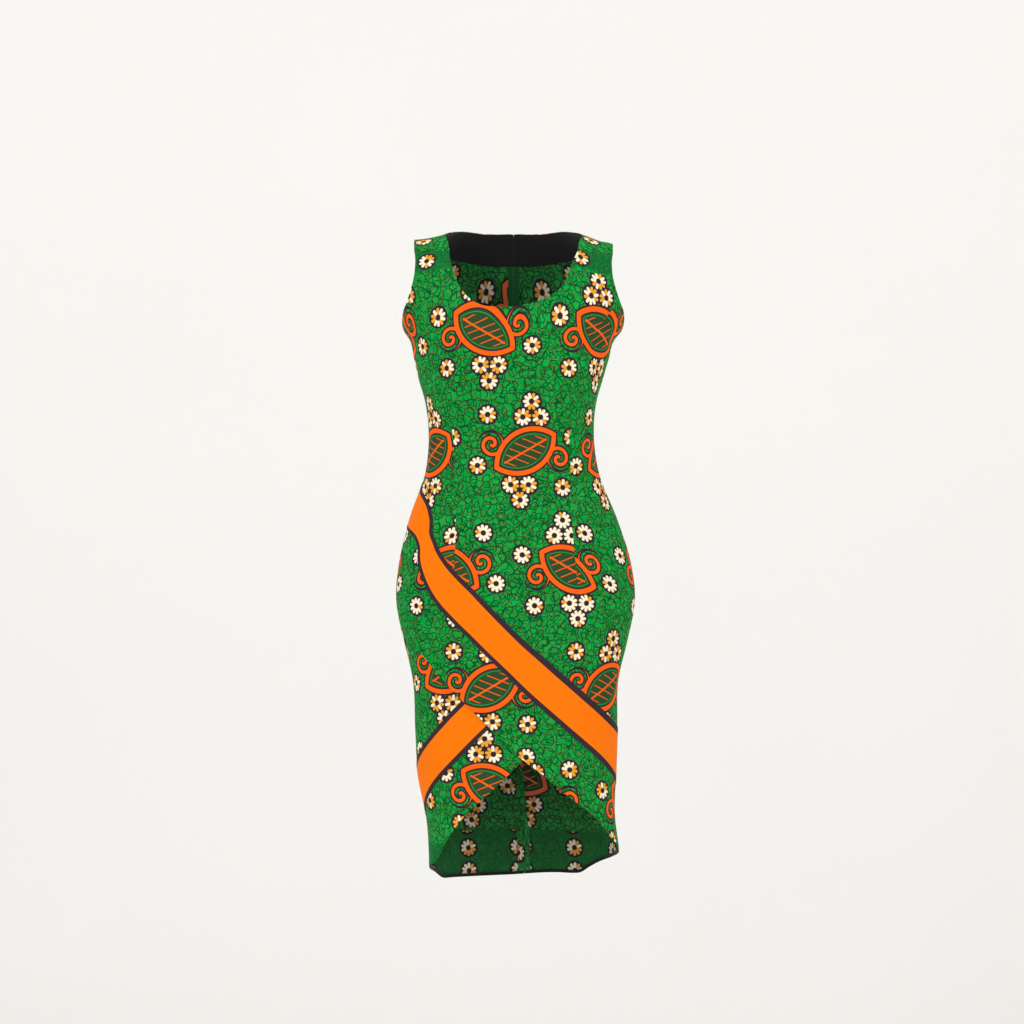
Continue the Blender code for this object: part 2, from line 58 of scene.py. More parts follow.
# Heights along the cloth, in metres
UNDERARM = -0.135
RIDGE = 0.040
SIDE_TOP = -0.141
UNDER_PANEL_TOP = -0.300
ZIP_TOP = -0.040
ZIP_FOOT = -0.480

# Layers of the solids, which the thinner cloth lies within
WALL = 0.0015
BAND_WALL = 0.0010
GAP = 0.0003

# Which way each side of the skin faces, and the two halves of the back
FRONT, BACK = -1, 1
SIDES = (("left", -1), ("right", 1))

# Shoulder line: how high the ridge of the shoulder lies at a distance from the centre
SHOULDER_SLOPE = 0.235
STRAP_MIDDLE = 0.117
NECK_ROUNDING = 0.030
NECK_RISE = 0.022
NECK_HALF = 0.070

# How far each strap lies above that even line: x and height
STRAP_LIFT = (
    (-0.1850, 0.0010), (-0.1440, 0.0004), (-0.1356, -0.0014), (-0.1168, -0.0036), (-0.0965, -0.0043),
    (-0.0834, -0.0020), (-0.0700, -0.0003), (-0.0550, 0.0000), (-0.0400, 0.0000),
    (0.0400, 0.0000), (0.0550, 0.0000), (0.0700, -0.0003), (0.0800, -0.0018), (0.0935, -0.0046),
    (0.1109, -0.0055), (0.1254, -0.0068), (0.1399, -0.0056), (0.1440, -0.0062), (0.1850, -0.0062),
)

# Sections of the skin: their rounding, and one row for each height
ROUNDING = 2.3
SECTIONS = (
    # height, centre, half width, front depth, back depth
    (0.040, 0.000, 0.185, 0.085, 0.085),
    (-0.060, 0.000, 0.172, 0.096, 0.092),
    (-0.118, 0.000, 0.164, 0.102, 0.097),
    (-0.135, -0.001, 0.160, 0.104, 0.098),
    (-0.152, -0.002, 0.1485, 0.106, 0.098),
    (-0.180, -0.003, 0.1410, 0.108, 0.096),
    (-0.209, -0.004, 0.1335, 0.105, 0.092),
    (-0.238, -0.004, 0.1250, 0.098, 0.088),
    (-0.300, -0.003, 0.1200, 0.087, 0.084),
    (-0.345, -0.002, 0.1260, 0.090, 0.094),
    (-0.412, 0.000, 0.1505, 0.098, 0.118),
    (-0.470, 0.002, 0.1670, 0.101, 0.131),
    (-0.528, 0.003, 0.1730, 0.102, 0.132),
    (-0.586, 0.003, 0.1625, 0.100, 0.122),
    (-0.644, 0.003, 0.1490, 0.096, 0.112),
    (-0.716, 0.004, 0.1465, 0.094, 0.107),
    (-0.780, 0.005, 0.1435, 0.092, 0.104),
    (-0.840, 0.010, 0.1370, 0.090, 0.102),
    (-0.890, 0.015, 0.1380, 0.089, 0.102),
    (-0.960, 0.017, 0.1400, 0.089, 0.103),
)

# Bust fullness that the darts give, one mound each side
BUST_APART = 0.088
BUST_HEIGHT = -0.198
BUST_HALF = (0.046, 0.062)
BUST_FULLNESS = 0.017
SEAM_FLATNESS = 8

# Soft drag folds, deepest in their middle: those of the solids, then finer creases
FOLDS = (
    # side, x, height, half length, half width, lean in degrees, depth
    (FRONT, -0.118, -0.418, 0.050, 0.011, 28, 0.0034),
    (FRONT, -0.128, -0.452, 0.040, 0.010, 20, 0.0024),
    (FRONT, 0.122, -0.402, 0.046, 0.011, -30, 0.0026),
    (FRONT, 0.100, -0.355, 0.040, 0.009, -24, 0.0016),
    (FRONT, -0.094, -0.352, 0.036, 0.009, 26, 0.0016),
    (FRONT, 0.030, -0.600, 0.085, 0.016, -38, 0.0014),
    (FRONT, 0.118, -0.165, 0.040, 0.009, 40, 0.0018),
    (FRONT, -0.118, -0.168, 0.038, 0.009, -40, 0.0018),
    (BACK, -0.070, -0.330, 0.060, 0.012, 16, 0.0030),
    (BACK, 0.078, -0.345, 0.055, 0.012, -14, 0.0028),
    (BACK, 0.030, -0.372, 0.070, 0.011, -6, 0.0020),
    (BACK, 0.105, -0.640, 0.060, 0.013, 42, 0.0022),
    (BACK, -0.100, -0.660, 0.058, 0.013, -40, 0.0020),
    (FRONT, -0.020, -0.318, 0.034, 0.006, 8, 0.0007),
    (FRONT, 0.046, -0.296, 0.026, 0.005, -14, 0.0006),
    (FRONT, -0.060, -0.300, 0.024, 0.005, 12, 0.0007),
    (FRONT, 0.070, -0.450, 0.050, 0.008, -34, 0.0009),
    (FRONT, -0.060, -0.520, 0.046, 0.009, 46, 0.0008),
    (FRONT, 0.095, -0.560, 0.052, 0.009, -52, 0.0009),
    (FRONT, -0.066, -0.690, 0.036, 0.008, -44, 0.0008),
    (FRONT, 0.086, -0.760, 0.044, 0.008, -40, 0.0008),
    (FRONT, 0.058, -0.150, 0.026, 0.006, 58, 0.0007),
    (FRONT, -0.050, -0.152, 0.024, 0.006, -60, 0.0006),
    (BACK, -0.030, -0.300, 0.040, 0.007, 10, 0.0012),
    (BACK, 0.052, -0.286, 0.036, 0.006, -12, 0.0010),
    (BACK, -0.084, -0.402, 0.044, 0.009, 30, 0.0012),
    (BACK, 0.020, -0.580, 0.060, 0.010, -62, 0.0009),
    (BACK, -0.050, -0.760, 0.070, 0.012, 70, 0.0012),
    (BACK, 0.064, -0.800, 0.064, 0.011, -74, 0.0011),
    (BACK, 0.066, -0.120, 0.040, 0.008, 50, 0.0009),
    (BACK, -0.070, -0.130, 0.036, 0.008, -48, 0.0009),
)

# Darts: the rows of their fold line on the right-hand half, and how much cloth each takes in
BUST_DART = ((0.1495, -0.1065), (0.1390, -0.1190), (0.1265, -0.1330), (0.1120, -0.1540))
BUST_DART_INTAKE = 0.020
BUST_DART_REACH = 0.110
FRONT_DART = (
    (0.0940, -0.2370), (0.0810, -0.2870), (0.0820, -0.3440), (0.0820, -0.3940), (0.0910, -0.5290),
)
FRONT_DART_INTAKE = 0.035
BACK_DART = ((0.0800, -0.2150), (0.0770, -0.3000), (0.0780, -0.3800), (0.0820, -0.4700))
BACK_DART_INTAKE = 0.030

# Edges of the pieces: distance from the centre plane, height
SEAM_NECK_END = (0.0920, -0.0385)
LEFT_NECK_EDGE = (
    SEAM_NECK_END, (0.0907, -0.0553), (0.0869, -0.0718), (0.0825, -0.0850), (0.0759, -0.0973),
    (0.0666, -0.1081), (0.0460, -0.1189), (0.0240, -0.1219), (0.0000, -0.1222),
)
RIGHT_NECK_EDGE = (
    SEAM_NECK_END, (0.0874, -0.0530), (0.0837, -0.0626), (0.0749, -0.0855), (0.0694, -0.0955),
    (0.0615, -0.1033), (0.0402, -0.1143), (0.0200, -0.1193), (0.0000, -0.1222),
)
ARMHOLE_EDGE = (
    (0.1430, -0.0220), (0.1410, -0.0444), (0.1450, -0.0809), (0.1530, -0.1038),
    (0.1595, -0.1200),
)
BACK_NECK_EDGE = (
    (0.0940, 0.0400), (0.0870, 0.0240), (0.0730, 0.0060), (0.0500, -0.0140),
    (0.0250, -0.0260), (0.0000, -0.0300),
)
BACK_ARMHOLE_EDGE = (
    (0.1430, 0.0400), (0.1400, 0.0000), (0.1405, -0.0480), (0.1460, -0.0900),
    (0.1550, -0.1180),
)
UNDERARM_CURVE = ((0.940, -0.1350), (0.975, -0.1400))
BACK_FACING_DEPTH = 0.045

# Edges that run right across: first height at the left side seam, then x and height, then the right
OVER_HEM = (
    -0.576,
    (
        (-0.141, -0.597), (-0.100, -0.645), (-0.038, -0.707), (0.008, -0.752),
        (0.042, -0.778), (0.075, -0.806), (0.119, -0.842), (0.142, -0.872),
    ),
    -0.890,
)
UNDER_HEM = (
    -0.914,
    (
        (-0.109, -0.900), (-0.098, -0.877), (-0.067, -0.834), (-0.033, -0.802),
        (0.002, -0.768), (0.042, -0.722), (0.088, -0.671), (0.130, -0.622),
    ),
    -0.576,
)
BACK_HEM = (
    -0.915,
    (
        (-0.1122, -0.9296), (-0.1037, -0.9370), (-0.0950, -0.9372), (-0.0126, -0.9361),
        (0.0691, -0.9322), (0.0890, -0.9326), (0.0985, -0.9318), (0.1132, -0.9220),
        (0.1276, -0.9134), (0.1431, -0.9055),
    ),
    -0.893,
)
OVER_BAND_TOP = (
    -0.362,
    (
        (-0.122, -0.404), (-0.1205, -0.434), (-0.0975, -0.481), (-0.0616, -0.520),
        (-0.0291, -0.554), (0.0049, -0.588), (0.043, -0.622), (0.0812, -0.656),
        (0.107, -0.679), (0.142, -0.7125),
    ),
    -0.728,
)
OVER_BAND_FOOT = (
    -0.415,
    (
        (-0.136, -0.444), (-0.131, -0.480), (-0.1135, -0.521), (-0.0475, -0.592),
        (0.002, -0.640), (0.061, -0.694), (0.119, -0.745), (0.143, -0.773),
    ),
    -0.790,
)
UNDER_BAND_TOP = (
    -0.780,
    (
        (-0.134, -0.755), (-0.102, -0.712), (-0.070, -0.677), (0.000, -0.608),
        (0.070, -0.545), (0.118, -0.490),
    ),
    -0.420,
)
UNDER_BAND_FOOT = (
    -0.836,
    (
        (-0.127, -0.814), (-0.098, -0.768), (-0.056, -0.724), (0.000, -0.668),
        (0.070, -0.604), (0.125, -0.548),
    ),
    -0.476,
)

# Widths of the dark borders above and below the orange, each at the left side seam and the right
OVER_BAND_BORDERS = ((0.005, 0.0105), (0.005, 0.0075))
UNDER_BAND_BORDERS = ((0.0065, 0.0075), (0.0060, 0.0055))

# How far below the over hem the under panel comes up to the skin
HEM_ROLL_OUT = 0.050

# How far seam allowances stop short of the edges
EDGE_MARGIN = 0.0030

# Mesh: cloth between the side seams on one side, and the spacing inside a piece and along its edge
GIRTH = 0.225
STEP = 0.0105
CURVE_STEP = 0.0065
CLEAR_OF_EDGE = 0.55
SHARP_ANGLE = math.radians(50)

# Small distances and limits of the mesh work, and how much of it is done at once
PROBE = 1e-5
SAME_POINT = 1e-7
WELD = 1e-6
SHORTEST_SQUARED = 1e-12
AT_SIDE_SEAM = 0.99
HEM_FROM_CENTRE = 0.02
RIM_INWARDS = (0.9999, 1.0)
POINTS_AT_ONCE = 4000
GRID_PARTS = 8

# Table of lengths over the cloth: first and last height and place across, and how many of each
GIRTH_HEIGHTS = (-0.98, 2 * RIDGE + 0.05, 220)
GIRTH_PLACES = (-1.0, 1.0, 121)

# Where the print's origin lies on each piece, in metres, and the heights of its plain border
PRINT_ORIGIN = {
    "front_over": (0.012, 0.066),
    "front_under": (0.071, 0.040),
    "back_left": (0.120, 0.028),
    "back_right": (0.036, 0.028),
}
FRONT_BORDER = -0.066
UNDER_BORDER = -0.880
BACK_BORDER = -0.868
ABOVE_ALL = 3 * RIDGE

# Print motif, in millimetres from the middle of its repeat
LEAF_BULGE = 26.2
LEAF_RADIUS = 51.2
LEAF_LINE_INSET, LEAF_LINE_HALF = 4.2, 0.5
DOTTED_INSET = 1.6
DOT_WAVES, DOT_FROM = 2.4, 0.25
RIBBON = 6.6
MIDRIB_HALF = 1.3
VEIN_LEAN, VEIN_PITCH, VEIN_HALF = 0.8, 13.0, 0.8
VEIN_INSET = 7.0
POSY = (36.0, 43.0)
POSY_SPREAD = 14.6
LONE_DAISY = (-20.0, 71.0)
LONE_SIDE = 0.75
SIDE_DAISY = (-70.0, 17.0)
SIDE_FROM = -50.0
PETALS = 10
PETAL_FROM, PETAL_TO, PETAL_HALF = 5.9, 9.9, 2.15
PETAL_STEP, PETAL_MIX, PALE_FROM, ROW_STEP = 12.9, 43.7, 0.45, 3.1
DAISY_RADIUS = 12.4
SCROLL = (-37.0, 33.0)
SCROLL_RADIUS = 17.5
SCROLL_PITCH = 12.5
SCROLL_HALF = 2.4
HALO = 2.4
BORDER_DAISIES = (77.2, 34.0)
BORDER_SHIFT = 3.1
BORDER_COVER = 0.75
BORDER_MIXED = 0.001
FAR = 100.0

# Ground of the print, in millimetres: drifting loops in cells, shifted against each other
DRIFT = 8.0
DRIFT_SCALE = 0.06
PATCH_SCALE, PATCH_CONTRAST, PATCH_START = 0.05, 5.0, 2.2
CELL_RANDOMNESS = 0.9
LOOP_CELL = 13.5
LOOP_RADII = (5.4, 4.6)
LOOP_SHIFTS = ((0.0, 0.0), (37.0, 129.0))
LOOP_HALF = 0.60
NET_CELL = 16.0
NET_SHIFT = (11.0, 67.0)
NET_HALF = 0.55
BROWN_CELL = 15.0
BROWN_SHIFT = (83.0, 41.0)
BROWN_RADIUS = 6.4
BROWN_HALF = 0.32
BROWN_COVER = 0.7

# Softness of printed edges, in millimetres
PRINT_SOFTNESS = 0.35
LOOP_SOFTNESS = 0.3
BROWN_SOFTNESS = 0.25
BAND_SOFTNESS = 0.3

# Finishes, weave and wear of the cloths, and the looks of thread, zip and backdrop
MILLIMETRES = 1000.0
SHEEN_ROUGHNESS = 0.5
CLOTH_SPECULAR = 0.08
WEAVE_WAVES, WEAVE_SHARE = 7.0, 0.4
WEAVE_STRENGTH, WEAVE_DEPTH = 0.25, 0.0003
SLUB_SCALE = 0.9
WEAR_SCALE = 0.02
# Inner face of the print: duller, as the cloth's own back face, and darker, as painted shade of the
# dress's inside
REVERSE_DULL_AND_SHADED = {"Saturation": 0.92, "Value": 0.62}
STRAND_SCALE, STRAND_SHADE = 1800.0, 0.6
ENAMEL_SPOTS, ENAMEL_WORN_FROM = 700.0, 0.66
ENAMEL_ROUGHNESS, ENAMEL_ROUGHER = 0.2, 0.3
PAPER_SCALE, PAPER_GRAIN, PAPER_LEAST = 1.2, 0.03, 0.985

# Screen colours of the plain pieces
BLACK_COTTON = (26, 26, 29)
HEM_SHADE_DARK = (24, 26, 22)
# Near-black of the strips inside the hems: painted shade of the turned-up hems
ZIP_TAPE_GREEN = (14, 84, 42)
COIL_GREEN = (24, 104, 50)
ENAMEL_GREEN = (22, 98, 46)
WORN_METAL = (120, 140, 118)
ROOM_WHITE = (250, 249, 246)

# Stitches: sides and rings of each, hem stitches against the others, and the zip coil's thread
STITCH_SIDES, STITCH_RINGS = 6, 4
HEM_STITCH_SHARE, HEM_THREAD_SHARE = 0.7, 0.8
COIL_THREAD = 0.00042

# Stage, in metres: the sweep of the backdrop, and the lights with their place, aim, size and power
SWEEP_FRONT, SWEEP_BACK, SWEEP_HALF = -6.0, 3.6, 7.0
SWEEP_BEND, SWEEP_TOP, SWEEP_STEPS = 1.4, 4.2, 24
DRESS_MIDDLE = (0.0, 0.0, -0.45)
WALL_MIDDLE = (0.0, 3.6, 0.2)
LIGHTS = (
    ("Key light", (-2.6, -3.4, 1.4), DRESS_MIDDLE, 2.2, 62.0),
    ("Fill light", (2.8, -3.2, 0.9), DRESS_MIDDLE, 2.2, 44.0),
    ("Top light", (0.0, -0.6, 2.8), DRESS_MIDDLE, 2.0, 20.0),
    ("Wall light left", (-2.4, 1.0, 2.2), WALL_MIDDLE, 1.6, 11.5),
    ("Wall light right", (2.4, 1.0, 2.2), WALL_MIDDLE, 1.6, 11.5),
)
ROOM_STRENGTH = 0.58


def rgb(red, green, blue):
    """Linear colour of a screen colour from 0 to 255."""
    return tuple(
        part / 12.92 if part <= 0.04045 else ((part + 0.055) / 1.055) ** 2.4
        for part in (red / 255, green / 255, blue / 255)
    )


def colour(name, description, value):
    return FloatVectorProperty(
        name=name, description=description, default=value, subtype="COLOR", min=0.0, max=1.0
    )


def length(name, description, value):
    return FloatProperty(name=name, description=description, default=value, unit="LENGTH", min=0.0)


class ClothSizes(bpy.types.PropertyGroup):
    thickness: length("Print cloth", "Thickness of the printed cotton", 0.0007)
    band_lift: length("Band gap", "Gap between the panel and the band sewn on it", 0.0003)
    band_thickness: length("Band cloth", "Thickness of the band", 0.0005)
    facing_gap: length("Facing gap", "Gap between the panel and what lies inside it", 0.0001)
    # The near-black strips inside the hems, which are painted shade, also have this thickness
    facing_thickness: length("Facing cloth", "Thickness of facings and hem tapes", 0.0004)
    seam_depth: length("Seam depth", "How far the cloth dips at a seam or dart", 0.0006)
    seam_half_width: length("Seam half width", "Half the width of that dip", 0.0016)
    # Width of the near-black strip inside each hem, which is painted shade of the turned-up hem
    hem_shade_width: length("Hem shade strip", "Width of the dark tape that binds a hem inside", 0.0045)
    allowance: length("Seam allowance", "Cloth beyond a seam, pressed open inside", 0.0130)
    zip_tape: length("Zip tape", "Half the width of the zip's two tapes", 0.0120)


class PrintLooks(bpy.types.PropertyGroup):
    tile_width: length("Repeat across", "Distance between motifs in a row", 0.176)
    tile_height: length("Repeat down", "Distance between rows of motifs", 0.168)
    row_shift: FloatProperty(
        name="Row shift", description="Share of the repeat that each row moves sideways",
        default=0.34, subtype="FACTOR", min=0.0, max=1.0,
    )
    turn: FloatProperty(
        name="Motif turn", description="How far each motif is turned",
        default=math.radians(30), subtype="ANGLE",
    )
    ground: colour("Ground", "Green between the loops", rgb(2, 152, 58))
    bright: colour("Bright ground", "Lighter green inside some loops", rgb(4, 168, 68))
    loop: colour("Loop line", "Dark green loop lines", rgb(2, 70, 30))
    brown: colour("Brown line", "Thin brown loop lines", rgb(122, 74, 20))
    outline: colour("Outline", "Plum black round the motifs", rgb(50, 33, 44))
    ribbon: colour("Ribbon", "Orange of the motifs", rgb(255, 100, 12))
    cream: colour("Cream", "Pale petals", rgb(255, 241, 208))
    gold: colour("Gold", "Golden petals", rgb(236, 164, 52))
    leaf: colour("Leaf", "Dark green of the dotted leaf", rgb(34, 56, 32))
    dots: colour("Leaf dots", "Green of the dots on the leaf", rgb(66, 104, 58))
    plain: colour("Border ground", "Green of the plain border", rgb(6, 100, 44))


class BandLooks(bpy.types.PropertyGroup):
    orange: colour("Band", "Plain orange of the bands", rgb(255, 122, 2))
    edge: colour("Band edge", "Dark edges of the bands", rgb(58, 42, 50))


class SewingSizes(bpy.types.PropertyGroup):
    pitch: length("Stitch pitch", "Distance from stitch to stitch", 0.0028)
    stitch: length("Stitch length", "Length of each stitch", 0.0021)
    thread: length("Thread", "Half the width of the thread", 0.00022)
    band_inset: length("Band inset", "Distance of the seam from the band's edge", 0.0018)
    edge_inset: length("Edge inset", "Distance of the seam from the neck and armhole edge", 0.0030)
    hem_inset: length("Hem inset", "Distance of the blind hem stitches from the hem", 0.0100)
    hem_pitch: length("Hem pitch", "Distance between blind hem stitches", 0.0075)
    tooth_pitch: length("Tooth pitch", "Distance from zip tooth to zip tooth", 0.0014)
    tooth: length("Tooth length", "Length of each turn of the zip coil", 0.0040)
    dark_thread: colour("Dark thread", "Thread on the bands", rgb(44, 30, 36))
    green_thread: colour("Green thread", "Thread on the print", rgb(20, 92, 42))


class StageSizes(bpy.types.PropertyGroup):
    distance: length("Camera distance", "From the camera to the middle of the dress", 4.0)
    camera_side: FloatProperty(
        name="Camera side", description="Camera to the right", default=-0.0022, unit="LENGTH"
    )
    camera_height: FloatProperty(
        name="Camera height", description="Level of the lens", default=-0.557, unit="LENGTH"
    )
    frame_width: length("Frame width", "Width of the picture at the dress", 1.4848)
    lens_shift: FloatProperty(name="Lens shift", description="Upward shift of the lens", default=0.105)
    floor: FloatProperty(
        name="Floor", description="Height of the floor", default=-1.45, unit="LENGTH"
    )
    paper: colour("Backdrop", "Cream white of the floor and backdrop", rgb(253, 252, 250))


def table(column):
    """One column of the sections, lowest section first."""
    return np.array([row[column] for row in reversed(SECTIONS)])


def smooth(heights, values, at):
    """Cubic curve through a table's values, with the table's own slopes at its rows."""
    slopes = np.gradient(values, heights)
    row = np.clip(np.searchsorted(heights, at) - 1, 0, len(heights) - 2)
    span = heights[row + 1] - heights[row]
    t = np.clip((at - heights[row]) / span, 0.0, 1.0)
    start = (1 + 2 * t) * (1 - t) ** 2 * values[row] + t * (1 - t) ** 2 * span * slopes[row]
    end = t * t * (3 - 2 * t) * values[row + 1] - t * t * (1 - t) * span * slopes[row + 1]
    return start + end


def section(height, facing):
    """Centre, half width and depth of the skin at a height, for the front or the back."""
    rows = table(0)
    depth = np.where(
        facing < 0, smooth(rows, table(3), height), smooth(rows, table(4), height)
    )
    return smooth(rows, table(1), height), smooth(rows, table(2), height), depth


def ridge_height(x):
    """Height of the shoulder line, which falls outwards and rises to the neck."""
    outwards = np.sqrt(x * x + NECK_ROUNDING ** 2)
    even = SHOULDER_SLOPE * (STRAP_MIDDLE - outwards) + NECK_RISE * np.exp(-((x / NECK_HALF) ** 2))
    places, lifts = np.array(STRAP_LIFT).T
    return even + smooth(places, lifts, x)


def fullness(x, height, facing, angle):
    """How far the bust stands out of the plain section and the drag folds fall into it."""
    wide, tall = BUST_HALF
    mound = np.exp(-(((np.abs(x) - BUST_APART) / wide) ** 2) - ((height - BUST_HEIGHT) / tall) ** 2)
    total = np.where(facing < 0, BUST_FULLNESS * mound * np.cos(angle), 0.0)
    for side, fold_x, fold_height, half_length, half_width, lean, deep in FOLDS:
        turn = math.radians(lean)
        along = (x - fold_x) * math.cos(turn) + (height - fold_height) * math.sin(turn)
        beside = (height - fold_height) * math.cos(turn) - (x - fold_x) * math.sin(turn)
        trough = np.exp(-((along / half_length) ** 2) - (beside / half_width) ** 2)
        total = total - np.where(facing == side, deep * trough, 0.0)
    return total * (1 - np.abs(np.sin(angle)) ** SEAM_FLATNESS)


def skin(across, height, side):
    """Points of the skin. A back panel that goes on past the ridge comes down in front."""
    beyond = height > RIDGE
    facing = np.where(beyond, -side, side)
    height = np.where(beyond, 2 * RIDGE - height, height)
    centre, half, depth = section(height, facing)
    angle = across * math.pi / 2
    radius = (
        np.abs(np.cos(angle) / depth) ** ROUNDING + np.abs(np.sin(angle) / half) ** ROUNDING
    ) ** (-1 / ROUNDING)
    radius = radius + fullness(centre + radius * np.sin(angle), height, facing, angle)
    x = centre + radius * np.sin(angle)
    turn = np.clip((height - UNDERARM) / (RIDGE - UNDERARM), 0.0, 1.0) * math.pi / 2
    over_shoulder = UNDERARM + (ridge_height(x) - UNDERARM) * np.sin(turn)
    z = np.where(height < UNDERARM, height, over_shoulder)
    return np.stack([x, facing * radius * np.cos(angle) * np.cos(turn), z], axis=-1)


def slopes_of(across, height, side):
    """The skin's two tangents, one for each of its coordinates."""
    sideways = skin(across + PROBE, height, side) - skin(across - PROBE, height, side)
    upwards = skin(across, height + PROBE, side) - skin(across, height - PROBE, side)
    return sideways / (2 * PROBE), upwards / (2 * PROBE)


def outward(across, height, side):
    """Unit normals of the skin."""
    sideways, upwards = slopes_of(across, height, side)
    normal = np.cross(sideways, upwards) * -side
    return normal / np.linalg.norm(normal, axis=-1, keepdims=True)


def place(x, height, side):
    """The skin's across coordinate at a distance from the centre plane."""
    x, height = np.asarray(x, float), np.asarray(height, float)
    facing = np.where(height > RIDGE, -side, side)
    centre, half, depth = section(np.where(height > RIDGE, 2 * RIDGE - height, height), facing)
    share = np.clip(np.abs(x - centre) / half, 0.0, 1.0)
    forward = depth * (1 - share ** ROUNDING) ** (1 / ROUNDING)
    return np.arctan2(x - centre, forward) / (math.pi / 2)


@functools.cache
def girth_table(side):
    """Cloth between the centre and each place across, at each height, in metres."""
    heights = np.linspace(*GIRTH_HEIGHTS)
    places = np.linspace(*GIRTH_PLACES)
    points = skin(*np.meshgrid(places, heights), side)
    steps = np.linalg.norm(np.diff(points, axis=1), axis=2)
    run = np.concatenate([np.zeros((len(heights), 1)), np.cumsum(steps, axis=1)], axis=1)
    return heights, places, run - run[:, [len(places) // 2]]


def cloth_from_centre(across, height, side):
    """Cloth between the centre and a point, along a level line."""
    heights, places, run = girth_table(side)
    row = np.interp(height, heights, np.arange(len(heights)))
    column = np.interp(across, places, np.arange(len(places)))
    low_row = np.minimum(row.astype(int), len(heights) - 2)
    low_column = np.minimum(column.astype(int), len(places) - 2)
    down, along = row - low_row, column - low_column
    lower = run[low_row, low_column] * (1 - along) + run[low_row, low_column + 1] * along
    upper = run[low_row + 1, low_column] * (1 - along) + run[low_row + 1, low_column + 1] * along
    return lower * (1 - down) + upper * down


def curve_through(corners, spacing=CURVE_STEP):
    """Smooth open curve through some points of the cut, as (across, height) rows."""
    flat = np.array(corners) * (GIRTH, 1.0)
    run = np.concatenate([[0.0], np.cumsum(np.linalg.norm(np.diff(flat, axis=0), axis=1))])
    at = np.linspace(0.0, run[-1], max(2, int(round(run[-1] / spacing)) + 1))
    if len(corners) == 2:
        return np.stack([np.interp(at, run, flat[:, 0] / GIRTH), np.interp(at, run, flat[:, 1])], axis=1)
    return np.stack([smooth(run, flat[:, 0] / GIRTH, at), smooth(run, flat[:, 1], at)], axis=1)


def side_edge():
    """The across coordinate where a panel stops, half a gap short of the side seam."""
    return 1.0 - GAP / 2 / GIRTH


def edge_from(rows, side, ends=()):
    """Curve through (x, height) rows of one side of the cut, and then through any end points."""
    corners = [(float(place(x, height, side)), height) for x, height in rows]
    return curve_through(corners + list(ends))


def edge_across(edge, side):
    """Curve from the left side seam to the right one."""
    first, rows, last = edge
    corners = [(float(place(x, height, side)), height) for x, height in rows]
    return curve_through([(-side_edge(), first)] + corners + [(side_edge(), last)])


def mirrored(curve):
    return curve * (-1.0, 1.0)


def shifted(curve, distance, side):
    """The curve moved over the skin, to the left of its direction of travel seen from outside."""
    across, height = curve[:, 0], curve[:, 1]
    points = skin(across, height, side)
    travel = np.gradient(points, axis=0)
    travel /= np.linalg.norm(travel, axis=1, keepdims=True)
    beside = np.cross(outward(across, height, side), travel)
    sideways, upwards = slopes_of(across, height, side)
    moved = curve.copy()
    steps = beside * np.reshape(distance, (-1, 1))
    for row, (a, b, step) in enumerate(zip(sideways, upwards, steps)):
        moved[row] += np.linalg.lstsq(np.stack([a, b], axis=1), step, rcond=None)[0]
    ends = np.abs(curve[[0, -1], 0]) > AT_SIDE_SEAM
    moved[[0, -1], 0] = np.where(ends, curve[[0, -1], 0], moved[[0, -1], 0])
    return moved


def line(start, end):
    return curve_through([tuple(start), tuple(end)])


def loop_of(*curves):
    """Closed outline of curves that follow each other."""
    joined = [curves[0]]
    for curve in curves[1:]:
        repeated = np.linalg.norm((curve[0] - joined[-1][-1]) * (GIRTH, 1.0)) < SAME_POINT
        joined.append(curve[1:] if repeated else curve)
    outline = np.concatenate(joined)
    closed = np.linalg.norm((outline[0] - outline[-1]) * (GIRTH, 1.0)) < SAME_POINT
    return outline[:-1] if closed else outline


def loop_between(first, second):
    """Closed outline between two curves that run the same way."""
    return loop_of(first, line(first[-1], second[-1]), second[::-1], line(second[0], first[0]))


def inside(points, outline):
    """Which points lie inside a closed outline."""
    parts = np.array_split(points, 1 + len(points) // POINTS_AT_ONCE)
    return np.concatenate([few_inside(part, outline) for part in parts])


def few_inside(points, outline):
    x, y = points[:, 0][:, None], points[:, 1][:, None]
    first, second = outline, np.roll(outline, -1, axis=0)
    spans = (first[:, 1] > y) != (second[:, 1] > y)
    rise = np.where(first[:, 1] == second[:, 1], 1.0, second[:, 1] - first[:, 1])
    crossing = first[:, 0] + (y - first[:, 1]) / rise * (second[:, 0] - first[:, 0])
    return (spans & (x < crossing)).sum(axis=1) % 2 == 1


def distance_to(points, curve):
    """Distance over the cut from each point to a curve, in metres."""
    flat, start = points * (GIRTH, 1.0), curve[:-1] * (GIRTH, 1.0)
    reach = curve[1:] * (GIRTH, 1.0) - start
    offset = flat[:, None] - start[None]
    share = (offset * reach).sum(axis=2) / np.maximum((reach * reach).sum(axis=1), SHORTEST_SQUARED)
    nearest = offset - np.clip(share, 0.0, 1.0)[..., None] * reach
    return np.sqrt((nearest ** 2).sum(axis=2).min(axis=1))


def refined(points, faces):
    """The same triangles, each split into four."""
    edges = np.concatenate([faces[:, [0, 1]], faces[:, [1, 2]], faces[:, [2, 0]]])
    pairs, number = np.unique(np.sort(edges, axis=1), axis=0, return_inverse=True)
    ab, bc, ca = len(points) + number.reshape(3, -1)
    a, b, c = faces.T
    quarters = [(a, ab, ca), (ab, b, bc), (ca, bc, c), (ab, bc, ca)]
    split = np.concatenate([np.stack(corners, axis=1) for corners in quarters])
    return np.concatenate([points, points[pairs].mean(axis=1)]), split


